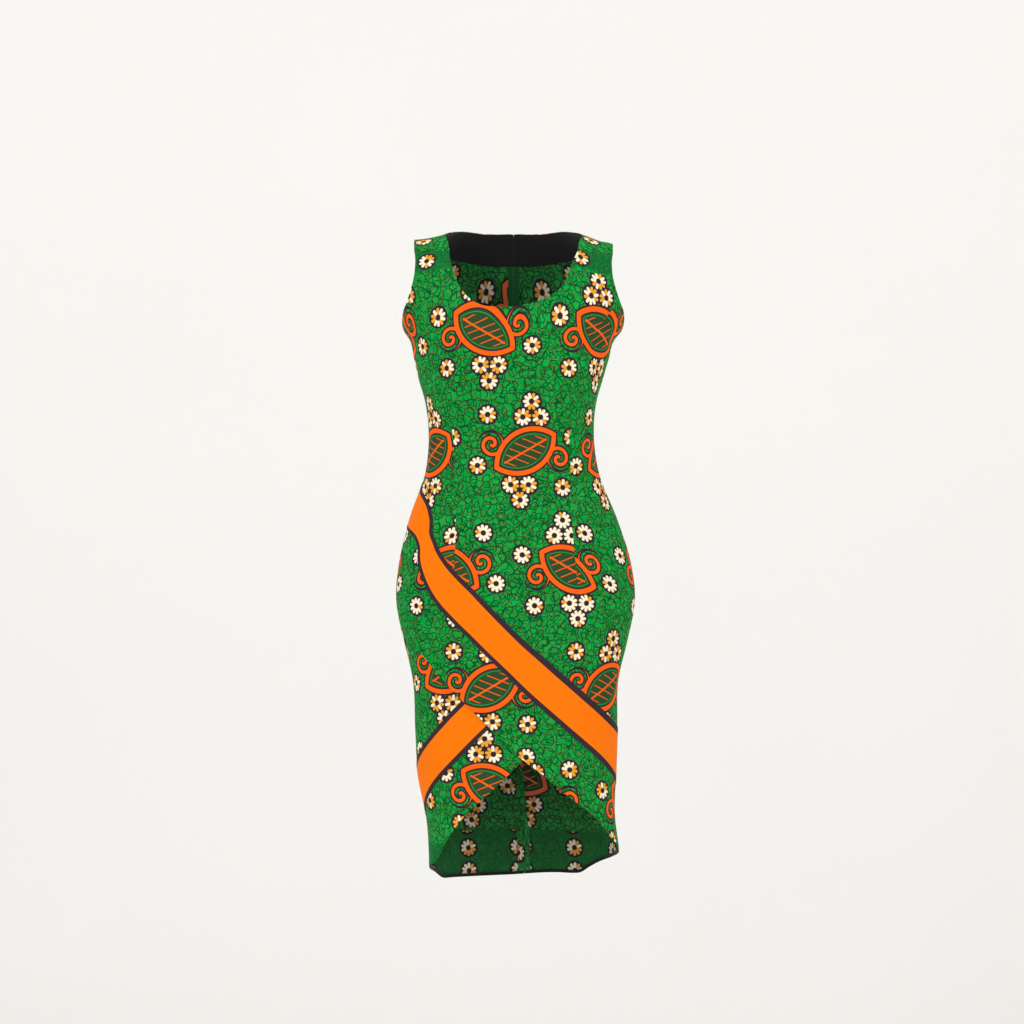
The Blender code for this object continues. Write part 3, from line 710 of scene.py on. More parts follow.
def sheet_of(outlines, seams):
    """Fine triangles that fill every outline, with the outlines and seams among their edges."""
    offset = 2 * bpy.context.scene.dress_cloth.seam_half_width / GIRTH
    open_lines = []
    for seam in seams:
        open_lines += [seam, seam - (offset, 0.0), seam + (offset, 0.0)]
    lines = [(outline, True) for outline in outlines] + [(seam, False) for seam in open_lines]
    rim = np.concatenate([points for points, closed in lines])
    low, high = rim.min(axis=0), rim.max(axis=0)
    columns = np.linspace(low[0], high[0], int(round((high[0] - low[0]) * GIRTH / STEP)) + 1)
    rows = np.linspace(low[1], high[1], int(round((high[1] - low[1]) / STEP)) + 1)
    grid = np.stack(np.meshgrid(columns, rows), axis=-1).reshape(-1, 2)
    apart = np.concatenate([
        np.linalg.norm((part[:, None] - rim[None]) * (GIRTH, 1.0), axis=2).min(axis=1)
        for part in np.array_split(grid, GRID_PARTS)
    ])
    filled = np.zeros(len(grid), bool)
    for outline in outlines:
        filled |= inside(grid, outline)
    grid = grid[filled & (apart > STEP * CLEAR_OF_EDGE)]
    edges = []
    start = 0
    for points, closed in lines:
        ring = np.arange(start, start + len(points))
        following = np.roll(ring, -1)
        pairs = list(zip(ring.tolist(), following.tolist()))
        edges += pairs if closed else pairs[:-1]
        start += len(points)
    flat = np.concatenate([rim, grid]) * (GIRTH, 1.0)
    made = delaunay_2d_cdt([Vector(point) for point in flat], edges, [], 0, WELD)
    points = np.array([tuple(point) for point in made[0]]) / (GIRTH, 1.0)
    return refined(points, np.array([face for face in made[2] if len(face) == 3]))


def level(value):
    """A layer at one distance from the skin."""
    return lambda points: np.full(len(points), value)


def under_layer(depth, over_hem):
    """A layer under the over panel that comes up to the skin below the over panel's hem."""
    def distance(points):
        hem = np.interp(points[:, 0], over_hem[:, 0], over_hem[:, 1])
        out = np.clip((hem - points[:, 1]) / HEM_ROLL_OUT, 0.0, 1.0)
        sunk = BAND_WALL + WALL + 2 * GAP
        return depth - sunk * (1 - out * out * (3 - 2 * out))
    return distance


def seam_dip(points, seams):
    """How far the cloth dips at its seams and darts."""
    sizes = bpy.context.scene.dress_cloth
    near = np.min([distance_to(points, seam) for seam in seams], axis=0)
    return sizes.seam_depth * np.exp(-((near / sizes.seam_half_width) ** 2))


def dipped(layer, seams):
    """A layer with the dips of its seams and darts, if it has any."""
    return (lambda points: layer(points) - seam_dip(points, seams)) if seams else layer


def past(points, dart):
    """Which points lie on the side seam's side of a dart, between the dart's ends."""
    order = np.argsort(dart[:, 1])
    beside = np.interp(points[:, 1], dart[order, 1], dart[order, 0])
    between = (points[:, 1] > dart[:, 1].min()) & (points[:, 1] < dart[:, 1].max())
    return between & (np.abs(points[:, 0]) > beside)


def flat_cloth(side, darts, intake, bust_dart=None, origin=(0.0, 0.0)):
    """Where each corner of a face lay on the flat cloth, which the darts' folds take out of."""
    top, foot = darts[:, 1].max(), darts[:, 1].min()

    def lay(corners, middles):
        across, height = corners[..., 0], corners[..., 1]
        u = cloth_from_centre(across, height, side)
        share = np.clip((height - foot) / (top - foot), 0.0, 1.0)
        taken = intake * np.sin(math.pi * share) * past(middles, darts)[:, None]
        u = u + np.sign(across) * taken
        v = height.copy()
        if bust_dart is not None:
            fold_places, fold_heights = bust_dart[::-1].T
            below = (np.interp(np.abs(across), fold_places, fold_heights) - height) / BUST_DART_REACH
            under = np.interp(np.abs(middles[:, 0]), fold_places, fold_heights) > middles[:, 1]
            beyond = np.clip((np.abs(across) - fold_places[0]) / (1 - fold_places[0]), 0.0, 1.0)
            v = v - BUST_DART_INTAKE * beyond * np.clip(1 - below, 0.0, 1.0) * under[:, None]
        return np.stack([u + origin[0], v + origin[1]], axis=-1)

    return lay


def paper_of(corners, middles):
    """Plain cloth coordinates for pieces with no print."""
    return np.stack([corners[..., 0] * GIRTH, corners[..., 1]], axis=-1)


def cloth(name, sheet, outline, side, layers, lay, material, extra=None):
    """Closed shell of cloth over the sheet's triangles in an outline, outside and inside."""
    points, faces = sheet
    faces = faces[inside(points[faces].mean(axis=1), outline)]
    used, faces = np.unique(faces, return_inverse=True)
    faces = faces.reshape(-1, 3)
    points = points[used]
    across, height = points.T
    base, normals = skin(across, height, side), outward(across, height, side)
    outside, lining = (base + normals * layer(points)[:, None] for layer in layers)
    if side == BACK:
        faces = faces[:, ::-1]
    count = len(points)
    directed = np.concatenate([faces[:, [0, 1]], faces[:, [1, 2]], faces[:, [2, 0]]])
    codes = directed[:, 0] * count + directed[:, 1]
    free = directed[~np.isin(codes, directed[:, 1] * count + directed[:, 0])]
    start, end = free.T
    rim = np.stack([end, start, start + count, end + count], axis=1)
    polygons = faces.tolist() + (faces[:, ::-1] + count).tolist() + rim.tolist()
    mesh = bpy.data.meshes.new(name)
    mesh.from_pydata(np.concatenate([outside, lining]).tolist(), [], polygons)
    middles = points[faces].mean(axis=1)
    walls = lay(points[faces], middles)
    rim_flat = lay(points[rim % count], points[free].mean(axis=1) * RIM_INWARDS)
    coordinates = np.concatenate([
        walls.reshape(-1, 2), walls[:, ::-1].reshape(-1, 2), rim_flat.reshape(-1, 2)
    ])
    mesh.uv_layers.new(name="cloth").data.foreach_set("uv", coordinates.astype(np.float32).ravel())
    # 1 on the inner faces, which the print darkens as painted shade of the inside, and 0.5 on the rim
    within = np.concatenate([np.zeros(len(faces)), np.ones(len(faces)), np.full(len(rim), 0.5)])
    mesh.attributes.new("inside", "FLOAT", "FACE").data.foreach_set("value", within.astype(np.float32))
    for label, values in (extra(points) if extra else {}).items():
        stored = mesh.attributes.new(label, "FLOAT", "POINT")
        stored.data.foreach_set("value", np.tile(values, 2).astype(np.float32))
    mesh.materials.append(material)
    mesh.shade_smooth()
    mesh.set_sharp_from_angle(angle=SHARP_ANGLE)
    made = bpy.data.objects.new(name, mesh)
    bpy.context.scene.collection.objects.link(made)
    return made


@functools.cache
def front_cut():
    """Outlines, seams and triangles that the front pieces share."""
    sizes = bpy.context.scene.dress_cloth
    top = np.array([-side_edge(), SIDE_TOP])
    armhole = edge_from(ARMHOLE_EDGE, FRONT, UNDERARM_CURVE + ((side_edge(), SIDE_TOP),))
    left_neck = mirrored(edge_from(LEFT_NECK_EDGE, FRONT))
    right_neck = edge_from(RIGHT_NECK_EDGE, FRONT)
    over_hem = edge_across(OVER_HEM, FRONT)
    under_hem = edge_across(UNDER_HEM, FRONT)
    shoulders = (line(mirrored(armhole)[0], left_neck[0]), line(right_neck[0], armhole[0]))
    bodice = [mirrored(armhole)[::-1], shoulders[0], left_neck, right_neck[::-1], shoulders[1], armhole]
    skirt = [line(armhole[-1], over_hem[-1]), over_hem[::-1], line(over_hem[0], top)]
    waist = line((-side_edge(), UNDER_PANEL_TOP), (side_edge(), UNDER_PANEL_TOP))
    bust_dart = edge_from(BUST_DART, FRONT)
    long_dart = edge_from(FRONT_DART, FRONT)
    darts = [bust_dart, mirrored(bust_dart), long_dart, mirrored(long_dart)]
    cut = {
        "front_over": loop_of(*bodice, *skirt),
        "front_under": loop_between(waist, under_hem),
        "band_over": band_outline(OVER_BAND_TOP, OVER_BAND_FOOT, OVER_BAND_BORDERS),
        "band_under": band_outline(UNDER_BAND_TOP, UNDER_BAND_FOOT, UNDER_BAND_BORDERS),
        # Near-black strips along the insides of the hems: painted shade of the turned-up hems
        "hem_shade_over": loop_between(shifted(over_hem, sizes.hem_shade_width, FRONT), over_hem),
        "hem_shade_under": loop_between(shifted(under_hem, sizes.hem_shade_width, FRONT), under_hem),
    }
    side_seams = [line(armhole[-1], (side_edge(), over_hem[-1, 1])), line(top, over_hem[0])]
    under_seams = [line(waist[-1], under_hem[-1]), line(waist[0], under_hem[0])]
    return {
        "outlines": cut,
        "sheet": sheet_of(list(cut.values()), darts),
        "darts": darts,
        "over_seams": darts + side_seams + list(shoulders),
        "under_seams": under_seams,
        "over_hem": over_hem,
        "under_hem": under_hem,
        "neck": np.concatenate([left_neck, right_neck[::-1][1:]]),
        "armholes": (armhole, mirrored(armhole)),
        "bust_dart": bust_dart,
        "long_dart": long_dart,
    }


def widths(ends, curve):
    """Width of a border along a curve, from its widths at the two side seams."""
    return np.interp(curve[:, 0], (-1.0, 1.0), ends)


def band_outline(top, foot, borders):
    """Outline of a band: its plain middle and a border each side."""
    top, foot = edge_across(top, FRONT), edge_across(foot, FRONT)
    upper = shifted(top, widths(borders[0], top), FRONT)
    lower = shifted(foot, -widths(borders[1], foot), FRONT)
    return loop_between(upper, lower)


@functools.cache
def back_cut(turn):
    """Outlines, seams and triangles of one back panel: turn is 1 right of the centre, or -1."""
    sizes = bpy.context.scene.dress_cloth
    middle = GAP / 2 / GIRTH
    whole_hem = edge_across(BACK_HEM, BACK)
    reach = turn * whole_hem[:, 0]
    order = np.argsort(reach)
    start = (middle, float(np.interp(middle, reach[order], whole_hem[order, 1])))
    past_centre = [i for i in order if reach[i] > middle + HEM_FROM_CENTRE]
    hem = np.array([start] + [(reach[i], whole_hem[i, 1]) for i in past_centre])
    seam = [(x, 2 * RIDGE - height - GAP) for x, height in (ARMHOLE_EDGE[0], SEAM_NECK_END)]
    foot = UNDERARM_CURVE + ((side_edge(), SIDE_TOP),)
    armhole = edge_from((seam[0],) + BACK_ARMHOLE_EDGE, BACK, foot)
    neck = edge_from((seam[1],) + BACK_NECK_EDGE, BACK)
    neck[-1, 0] = middle
    centre = line(neck[-1], (middle, hem[0, 1]))
    shoulder = line(neck[0], armhole[0])
    side_seam = line(armhole[-1], hem[-1])
    panel = loop_of(armhole, side_seam, hem[::-1], centre[::-1], neck[::-1], shoulder)
    inner_neck = edge_from(BACK_NECK_EDGE, BACK)
    inner_neck[-1, 0] = middle
    lower = shifted(inner_neck, -BACK_FACING_DEPTH, BACK)
    lower[-1, 0] = middle
    # Top of the near-black strip along the hem: painted shade of the turned-up hem
    upper = shifted(hem, -sizes.hem_shade_width, BACK)
    upper[0, 0] = middle
    dart = edge_from(BACK_DART, BACK)
    sides = (float(turn), 1.0)
    seams = [dart, shoulder, side_seam, centre]
    outlines = [panel * sides, loop_between(inner_neck, lower) * sides, loop_between(upper, hem) * sides]
    return {
        "outlines": outlines,
        "sheet": sheet_of(outlines, [dart * sides]),
        "seams": [curve * sides for curve in seams],
        "dart": dart,
        "hem": hem * sides,
        "armhole": armhole * sides,
        "neck": neck * sides,
        "centre": centre * sides,
    }


class Field:
    """A number that varies over the cloth, written with plain arithmetic."""

    def __init__(self, tree, socket):
        self.tree = tree
        self.socket = socket

    def math(self, operation, *others):
        feeds = dict(enumerate((self, *others)))
        node = fed_node(self.tree, "ShaderNodeMath", feeds, operation=operation)
        return Field(self.tree, node.outputs[0])

    def __add__(self, other):
        return self.math("ADD", other)

    def __sub__(self, other):
        return self.math("SUBTRACT", other)

    def __mul__(self, other):
        return self.math("MULTIPLY", other)

    def __truediv__(self, other):
        return self.math("DIVIDE", other)

    def __neg__(self):
        return self.math("MULTIPLY", -1.0)

    def __abs__(self):
        return self.math("ABSOLUTE")

    def __mod__(self, other):
        return self.math("FLOORED_MODULO", other)

    def least(self, other):
        return self.math("MINIMUM", other)

    def most(self, other):
        return self.math("MAXIMUM", other)

    def above(self, other):
        return self.math("GREATER_THAN", other)

    def wave(self):
        return self.math("SINE")

    def part_wave(self):
        return self.math("COSINE")

    def whole(self):
        return self.math("FLOOR")

    def part(self):
        return self.math("FRACT")

    def within(self, softness=PRINT_SOFTNESS):
        """1 where a distance in millimetres is below zero, with a soft edge."""
        feeds = {"Value": self, "From Min": softness, "From Max": -softness}
        node = fed_node(self.tree, "ShaderNodeMapRange", feeds, interpolation_type="SMOOTHSTEP")
        return Field(self.tree, node.outputs["Result"])

    def towards(self, other, share):
        """This number where share is 0, the other where it is 1."""
        node = fed_node(self.tree, "ShaderNodeMix", {0: share, 2: self, 3: other})
        return Field(self.tree, node.outputs[0])


def feed(tree, slot, value):
    """Links a field or socket to a node's input, or sets the input's number or colour."""
    if isinstance(value, Field):
        tree.links.new(value.socket, slot)
    elif isinstance(value, bpy.types.NodeSocket):
        tree.links.new(value, slot)
    elif hasattr(value, "__len__") and slot.type == "RGBA":
        slot.default_value = (*value[:3], 1.0)
    else:
        slot.default_value = value


def fed_node(tree, kind, feeds, **settings):
    """A node with its settings, and its inputs fed by their names or places."""
    node = tree.nodes.new(kind)
    for name, value in settings.items():
        setattr(node, name, value)
    for label, value in feeds.items():
        feed(tree, node.inputs[label], value)
    return node


def distance(x, y):
    return (x * x + y * y).math("SQRT")


def bearing(x, y):
    return y.math("ARCTAN2", x)


def painted(tree, below, above, share):
    """Colour above laid over colour below by a share. A mix's colours are its inputs 6 and 7."""
    feeds = {0: share, 6: below, 7: above}
    return fed_node(tree, "ShaderNodeMix", feeds, data_type="RGBA").outputs[2]


def adjusted(tree, base, **changes):
    """A colour with its Value or Saturation multiplied."""
    return fed_node(tree, "ShaderNodeHueSaturation", {**changes, "Color": base}).outputs[0]


def texture(tree, kind, vector, **inputs):
    """A texture node fed by a vector, with its inputs by name and settings in capitals."""
    node = tree.nodes.new("ShaderNodeTex" + kind)
    for name, value in inputs.items():
        label = name.replace("_", " ").title()
        if label in node.inputs:
            feed(tree, node.inputs[label], value)
        else:
            setattr(node, name, value)
    feed(tree, node.inputs["Vector"], vector)
    return node


def vector_of(tree, x, y, z=0.0):
    return fed_node(tree, "ShaderNodeCombineXYZ", {0: x, 1: y, 2: z}).outputs[0]


def uv_fields(tree, name):
    """The two coordinates of a UV map, in millimetres of cloth."""
    source = fed_node(tree, "ShaderNodeUVMap", {}, uv_map=name)
    parts = fed_node(tree, "ShaderNodeSeparateXYZ", {0: source.outputs[0]})
    return Field(tree, parts.outputs[0]) * MILLIMETRES, Field(tree, parts.outputs[1]) * MILLIMETRES


def attribute(tree, name):
    node = fed_node(tree, "ShaderNodeAttribute", {}, attribute_name=name)
    return Field(tree, node.outputs["Fac"])


def noise(tree, place_on, scale, detail, **settings):
    """Soft uneven patches, as a number from 0 to 1."""
    node = texture(tree, "Noise", place_on, scale=scale, detail=detail, **settings)
    return Field(tree, node.outputs["Fac"])


def object_place(tree):
    return tree.nodes.new("ShaderNodeTexCoord").outputs["Object"]


def new_material(name, roughness, sheen=0.0, metallic=0.0):
    """Material with its even finishes set on the shader's own sockets."""
    made = bpy.data.materials.new(name)
    made.use_nodes = True
    shader = made.node_tree.nodes["Principled BSDF"]
    shader.inputs["Roughness"].default_value = roughness
    shader.inputs["Metallic"].default_value = metallic
    shader.inputs["Sheen Weight"].default_value = sheen
    shader.inputs["Sheen Roughness"].default_value = SHEEN_ROUGHNESS
    shader.inputs["Specular IOR Level"].default_value = CLOTH_SPECULAR
    return made, made.node_tree, shader


def weave_bump(tree, shader, u, v):
    """Fine plain weave, a little uneven."""
    uneven = noise(tree, vector_of(tree, u, v), SLUB_SCALE, 2.0)
    threads = (u * WEAVE_WAVES).wave() * (v * WEAVE_WAVES).wave()
    feeds = {"Strength": WEAVE_STRENGTH, "Distance": WEAVE_DEPTH, "Height": threads * WEAVE_SHARE + uneven}
    bump = fed_node(tree, "ShaderNodeBump", feeds)
    tree.links.new(bump.outputs[0], shader.inputs["Normal"])


def worn(tree, base, u, v, spread=0.10):
    """The colour, a little lighter and darker in soft patches."""
    patches = noise(tree, vector_of(tree, u, v), WEAR_SCALE, 3.0)
    return adjusted(tree, base, Value=(patches - 0.5) * (2 * spread) + 1.0)


def cells_of(tree, place_on, cell, shift, feature):
    """Distance, in millimetres, to the middle or the edge of uneven cells."""
    moved = fed_node(tree, "ShaderNodeVectorMath", {0: place_on, 1: (*shift, 0.0)})
    cells = texture(
        tree, "Voronoi", moved.outputs[0], scale=1 / cell, voronoi_dimensions="2D", feature=feature,
        randomness=CELL_RANDOMNESS,
    )
    return Field(tree, cells.outputs["Distance"]) * cell


def loop_lines(tree, place_on, cell, shift, radius, half):
    """Distance to the lines of loops, which run round the middles of uneven cells and cut each other."""
    return abs(cells_of(tree, place_on, cell, shift, "F1") - radius) - half


def wax_ground(tree, u, v, looks):
    """Dense loops in dark green and brown on green."""
    place_on = vector_of(tree, u, v)
    drift = texture(
        tree, "Noise", place_on, scale=DRIFT_SCALE, detail=1.0, noise_dimensions="2D"
    )
    feeds = {0: drift.outputs["Color"], 1: (DRIFT, DRIFT, 0.0), 2: place_on}
    drawn = fed_node(tree, "ShaderNodeVectorMath", feeds, operation="MULTIPLY_ADD").outputs[0]
    patches = noise(tree, place_on, PATCH_SCALE, 2.0, noise_dimensions="2D")
    patch = (patches * PATCH_CONTRAST - PATCH_START).least(1.0).most(0.0)
    colours = painted(tree, looks.ground, looks.bright, patch)
    first, second = (
        loop_lines(tree, drawn, LOOP_CELL, shift, radius, LOOP_HALF)
        for shift, radius in zip(LOOP_SHIFTS, LOOP_RADII)
    )
    net = cells_of(tree, drawn, NET_CELL, NET_SHIFT, "DISTANCE_TO_EDGE") - NET_HALF
    lines = first.least(second).least(net)
    colours = painted(tree, colours, looks.loop, lines.within(LOOP_SOFTNESS))
    brown = loop_lines(tree, drawn, BROWN_CELL, BROWN_SHIFT, BROWN_RADIUS, BROWN_HALF)
    return painted(tree, colours, looks.brown, brown.within(BROWN_SOFTNESS) * BROWN_COVER)


def daisy(x, y, seed):
    """Petals of a daisy about a point: how far they are, in millimetres, and which are pale."""
    pitch = 2 * math.pi / PETALS
    angle = bearing(x, y)
    reach = distance(x, y)
    own = angle % pitch - pitch / 2
    along = reach * own.part_wave()
    beside = reach * own.wave()
    past_end = along - along.least(PETAL_TO).most(PETAL_FROM)
    petal = distance(past_end, beside) - PETAL_HALF
    tone = (((angle / pitch).whole() * PETAL_STEP + seed).wave() * PETAL_MIX).part()
    pale = tone.above(PALE_FROM)
    return petal, pale, reach - DAISY_RADIUS - HALO


def wax_print_colours(tree, u, v, looks, border):
    """The print: rows of turned leaves, each with two posies, two scrolls and two lone daisies."""
    wide, tall = looks.tile_width * MILLIMETRES, looks.tile_height * MILLIMETRES
    row = (v / tall).whole()
    flip = (row % 2.0) * -2.0 + 1.0
    x = ((u + row * (looks.row_shift * wide)) % wide - wide / 2) * flip
    y = v - row * tall - tall / 2
    turned_x = x * math.cos(looks.turn) + y * math.sin(looks.turn)
    turned_y = y * math.cos(looks.turn) - x * math.sin(looks.turn)
    half = turned_y.math("SIGN")
    x, y = turned_x * half, abs(turned_y)

    leaf = distance(x, y + LEAF_BULGE) - LEAF_RADIUS
    ribbon = abs(leaf - RIBBON / 2) - RIBBON / 2
    veins = abs((x + y * VEIN_LEAN) % VEIN_PITCH - VEIN_PITCH / 2) - VEIN_HALF
    rib = (y - MIDRIB_HALF).least(veins).most(leaf + VEIN_INSET)

    scroll_x, scroll_y = x - SCROLL[0], y - SCROLL[1]
    reach = distance(scroll_x, scroll_y)
    coil = (reach - bearing(scroll_x, scroll_y) * (SCROLL_PITCH / (2 * math.pi))) % SCROLL_PITCH
    scroll = (abs(coil - SCROLL_PITCH / 2) - SCROLL_HALF).most(reach - SCROLL_RADIUS)

    posy_x, posy_y = x - POSY[0], y - POSY[1]
    third = 2 * math.pi / 3
    spoke = bearing(posy_x, posy_y) % third - third / 2
    posy_reach = distance(posy_x, posy_y)
    lone = x.math("LESS_THAN", LONE_SIDE)
    side = x.math("LESS_THAN", SIDE_FROM)
    lone_x = x - (side * (SIDE_DAISY[0] - LONE_DAISY[0]) + LONE_DAISY[0])
    lone_y = y - (side * (SIDE_DAISY[1] - LONE_DAISY[1]) + LONE_DAISY[1])
    daisy_x = (posy_reach * spoke.part_wave() - POSY_SPREAD).towards(lone_x, lone)
    daisy_y = (posy_reach * spoke.wave()).towards(lone_y, lone)
    apart, rows = BORDER_DAISIES
    daisy_x = daisy_x.towards((u + BORDER_SHIFT) % apart - apart / 2, border)
    daisy_y = daisy_y.towards(v % rows - rows / 2, border)
    petal, pale, ring = daisy(daisy_x, daisy_y, row * ROW_STEP)
    seam = (border - border * border).above(BORDER_MIXED) * FAR
    petal, ring = petal + seam, ring + seam

    motif = border * (2 * FAR) - FAR
    halo = (leaf - RIBBON).least(scroll).most(motif) - HALO
    halo = halo.least(ring)
    colours = wax_ground(tree, u, v, looks)
    colours = painted(tree, colours, looks.plain, border * BORDER_COVER)
    colours = painted(tree, colours, looks.outline, halo.within())
    dots = (u * DOT_WAVES).wave() * (v * DOT_WAVES).wave()
    dotted = painted(tree, looks.leaf, looks.dots, dots.above(DOT_FROM))
    colours = painted(tree, colours, dotted, (leaf + DOTTED_INSET).most(motif).within())
    leaf_line = abs(leaf + LEAF_LINE_INSET) - LEAF_LINE_HALF
    colours = painted(tree, colours, looks.bright, leaf_line.most(motif).within())
    orange = ribbon.least(scroll).least(rib).most(motif)
    colours = painted(tree, colours, looks.ribbon, orange.within())
    petals = painted(tree, looks.gold, looks.cream, pale)
    return painted(tree, colours, petals, petal.within())


@functools.cache
def wax_print():
    """Printed cotton, on both its faces: the inner face is a little duller, and darker as painted shade of
    the dress's inside.
    """
    looks = bpy.context.scene.dress_print
    made, tree, shader = new_material("Wax print cotton", roughness=0.68)
    u, v = uv_fields(tree, "cloth")
    colours = wax_print_colours(tree, u, v, looks, attribute(tree, "border"))
    colours = worn(tree, colours, u, v)
    # Inner faces: duller, as the cloth's own back face, and darker, as painted shade of the dress's inside
    dull_and_shaded = adjusted(tree, colours, **REVERSE_DULL_AND_SHADED)
    colours = painted(tree, colours, dull_and_shaded, attribute(tree, "inside"))
    tree.links.new(colours, shader.inputs["Base Color"])
    weave_bump(tree, shader, u, v)
    return made


@functools.cache
def orange_cotton():
    """Band cloth: plain orange between two dark edges."""
    looks = bpy.context.scene.dress_band
    made, tree, shader = new_material("Orange band cotton", roughness=0.66)
    u, v = uv_fields(tree, "cloth")
    middle = attribute(tree, "from_top").least(attribute(tree, "from_foot")) * MILLIMETRES
    colours = painted(tree, looks.orange, looks.edge, middle.within(BAND_SOFTNESS))
    colours = worn(tree, colours, u, v, spread=0.05)
    tree.links.new(colours, shader.inputs["Base Color"])
    weave_bump(tree, shader, u, v)
    return made


@functools.cache
def plain_cotton(name, red, green, blue, roughness=0.8):
    """Plain dyed cotton with a fine weave."""
    made, tree, shader = new_material(name, roughness, sheen=0.2)
    u, v = uv_fields(tree, "cloth")
    colours = worn(tree, solid(tree, (red, green, blue)), u, v, spread=0.12)
    tree.links.new(colours, shader.inputs["Base Color"])
    weave_bump(tree, shader, u, v)
    return made


def solid(tree, value):
    node = tree.nodes.new("ShaderNodeRGB")
    node.outputs[0].default_value = (*value[:3], 1.0)
    return node.outputs[0]


@functools.cache
def thread(name, red, green, blue):
    """Sewing thread, its strands twisted, on Object coordinates."""
    made, tree, shader = new_material(name, roughness=0.55, sheen=0.3)
    strands = noise(tree, object_place(tree), STRAND_SCALE, 1.0)
    shaded = [part * STRAND_SHADE for part in (red, green, blue)]
    twisted = painted(tree, shaded, (red, green, blue), strands)
    tree.links.new(twisted, shader.inputs["Base Color"])
    return made


@functools.cache
def zip_enamel():
    """Green enamel on the zip's metal, worn to brighter metal in small spots."""
    made, tree, shader = new_material("Zip enamel", roughness=0.35, metallic=0.5)
    spots = noise(tree, object_place(tree), ENAMEL_SPOTS, 3.0)
    colours = painted(tree, rgb(*ENAMEL_GREEN), rgb(*WORN_METAL), spots.above(ENAMEL_WORN_FROM))
    feed(tree, shader.inputs["Base Color"], colours)
    feed(tree, shader.inputs["Roughness"], spots * ENAMEL_ROUGHER + ENAMEL_ROUGHNESS)
    return made


class DRESS_OT_front(bpy.types.Operator):
    """Make the over and under front panels"""
    bl_idname = "dress.front"
    bl_label = "Front panels"

    def execute(self, context):
        sizes = context.scene.dress_cloth
        cut = front_cut()
        faces = (0.0, -sizes.thickness)
        hem = cut["over_hem"]
        for name, layers, seams, border_top in (
            ("front_over", [level(face) for face in faces], cut["over_seams"], FRONT_BORDER),
            ("front_under", [under_layer(face, hem) for face in faces], cut["under_seams"], RIDGE),
        ):
            lay = flat_cloth(
                FRONT, cut["long_dart"], FRONT_DART_INTAKE, cut["bust_dart"], PRINT_ORIGIN[name]
            )
            piece = cloth(
                name + "_cloth", cut["sheet"], cut["outlines"][name], FRONT,
                [dipped(layer, seams) for layer in layers], lay, wax_print(),
                border_of(UNDER_BORDER, border_top),
            )
            settle(piece, name)
        return {"FINISHED"}


def border_of(low, high):
    """Where the print has its plain border: below one height and above another."""
    def border(points):
        height = points[:, 1]
        return {"border": ((height < low) | (height > high)).astype(float)}
    return border


def settle(piece, node):
    """Ties a piece to the dress body and hides the solid that it stands for."""
    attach(piece, "dress")
    if node:
        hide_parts(node)
    return piece


def band_edges(top, foot):
    """How far points lie within the top and the foot of a band's orange, below 0 on its borders."""
    def edges(points):
        over = np.interp(points[:, 0], top[:, 0], top[:, 1]) > points[:, 1]
        under = np.interp(points[:, 0], foot[:, 0], foot[:, 1]) < points[:, 1]
        return {
            "from_top": distance_to(points, top) * np.where(over, 1.0, -1.0),
            "from_foot": distance_to(points, foot) * np.where(under, 1.0, -1.0),
        }
    return edges


class DRESS_OT_bands(bpy.types.Operator):
    """Make the two orange bands"""
    bl_idname = "dress.bands"
    bl_label = "Orange bands"

    def execute(self, context):
        sizes = context.scene.dress_cloth
        cut = front_cut()
        low, high = sizes.band_lift, sizes.band_lift + sizes.band_thickness
        for name, top, foot, layers in (
            ("band_over", OVER_BAND_TOP, OVER_BAND_FOOT, (level(high), level(low))),
            (
                "band_under", UNDER_BAND_TOP, UNDER_BAND_FOOT,
                (under_layer(high, cut["over_hem"]), under_layer(low, cut["over_hem"])),
            ),
        ):
            piece = cloth(
                name + "_cloth", cut["sheet"], cut["outlines"][name], FRONT, layers, paper_of,
                orange_cotton(), band_edges(edge_across(top, FRONT), edge_across(foot, FRONT)),
            )
            settle(piece, name)
        return {"FINISHED"}


class DRESS_OT_backs(bpy.types.Operator):
    """Make the two back panels and their black neck facings"""
    bl_idname = "dress.backs"
    bl_label = "Back panels and facings"

    def execute(self, context):
        sizes = context.scene.dress_cloth
        black = plain_cotton("Black facing cotton", *rgb(*BLACK_COTTON))
        for word, turn in SIDES:
            cut = back_cut(turn)
            name = "back_" + word
            lay = flat_cloth(BACK, cut["dart"], BACK_DART_INTAKE, None, PRINT_ORIGIN[name])
            panel = cloth(
                name + "_cloth", cut["sheet"], cut["outlines"][0], BACK,
                [dipped(level(face), cut["seams"]) for face in (0.0, -sizes.thickness)], lay,
                wax_print(), border_of(BACK_BORDER, ABOVE_ALL),
            )
            settle(panel, name)
            facing = cloth(
                "neck_facing_" + word + "_cloth", cut["sheet"], cut["outlines"][1], BACK,
                [level(face) for face in facing_layers(sizes)], paper_of, black,
            )
            settle(facing, "neck_facing_" + word)
        return {"FINISHED"}


def allowance_layers(sizes):
    """Faces of what lies straight inside the panels."""
    near = -sizes.thickness - sizes.seam_depth - sizes.facing_gap
    return near, near - sizes.facing_thickness


def facing_layers(sizes):
    """Faces of what lies inside the seam allowances and the zip's tape."""
    near = allowance_layers(sizes)[1] - sizes.facing_gap
    return near, near - sizes.facing_thickness


def strip(name, side, places, rows, layers, material, seams=()):
    """Strip of cloth between two places across and two heights, as inside a seam."""
    (low, high), (bottom, top) = places, rows
    outline = loop_of(
        line((low, top), (high, top)), line((high, top), (high, bottom)),
        line((high, bottom), (low, bottom)), line((low, bottom), (low, top)),
    )
    return cloth(
        name, sheet_of([outline], []), outline, side, [dipped(level(face), seams) for face in layers],
        paper_of, material,
    )


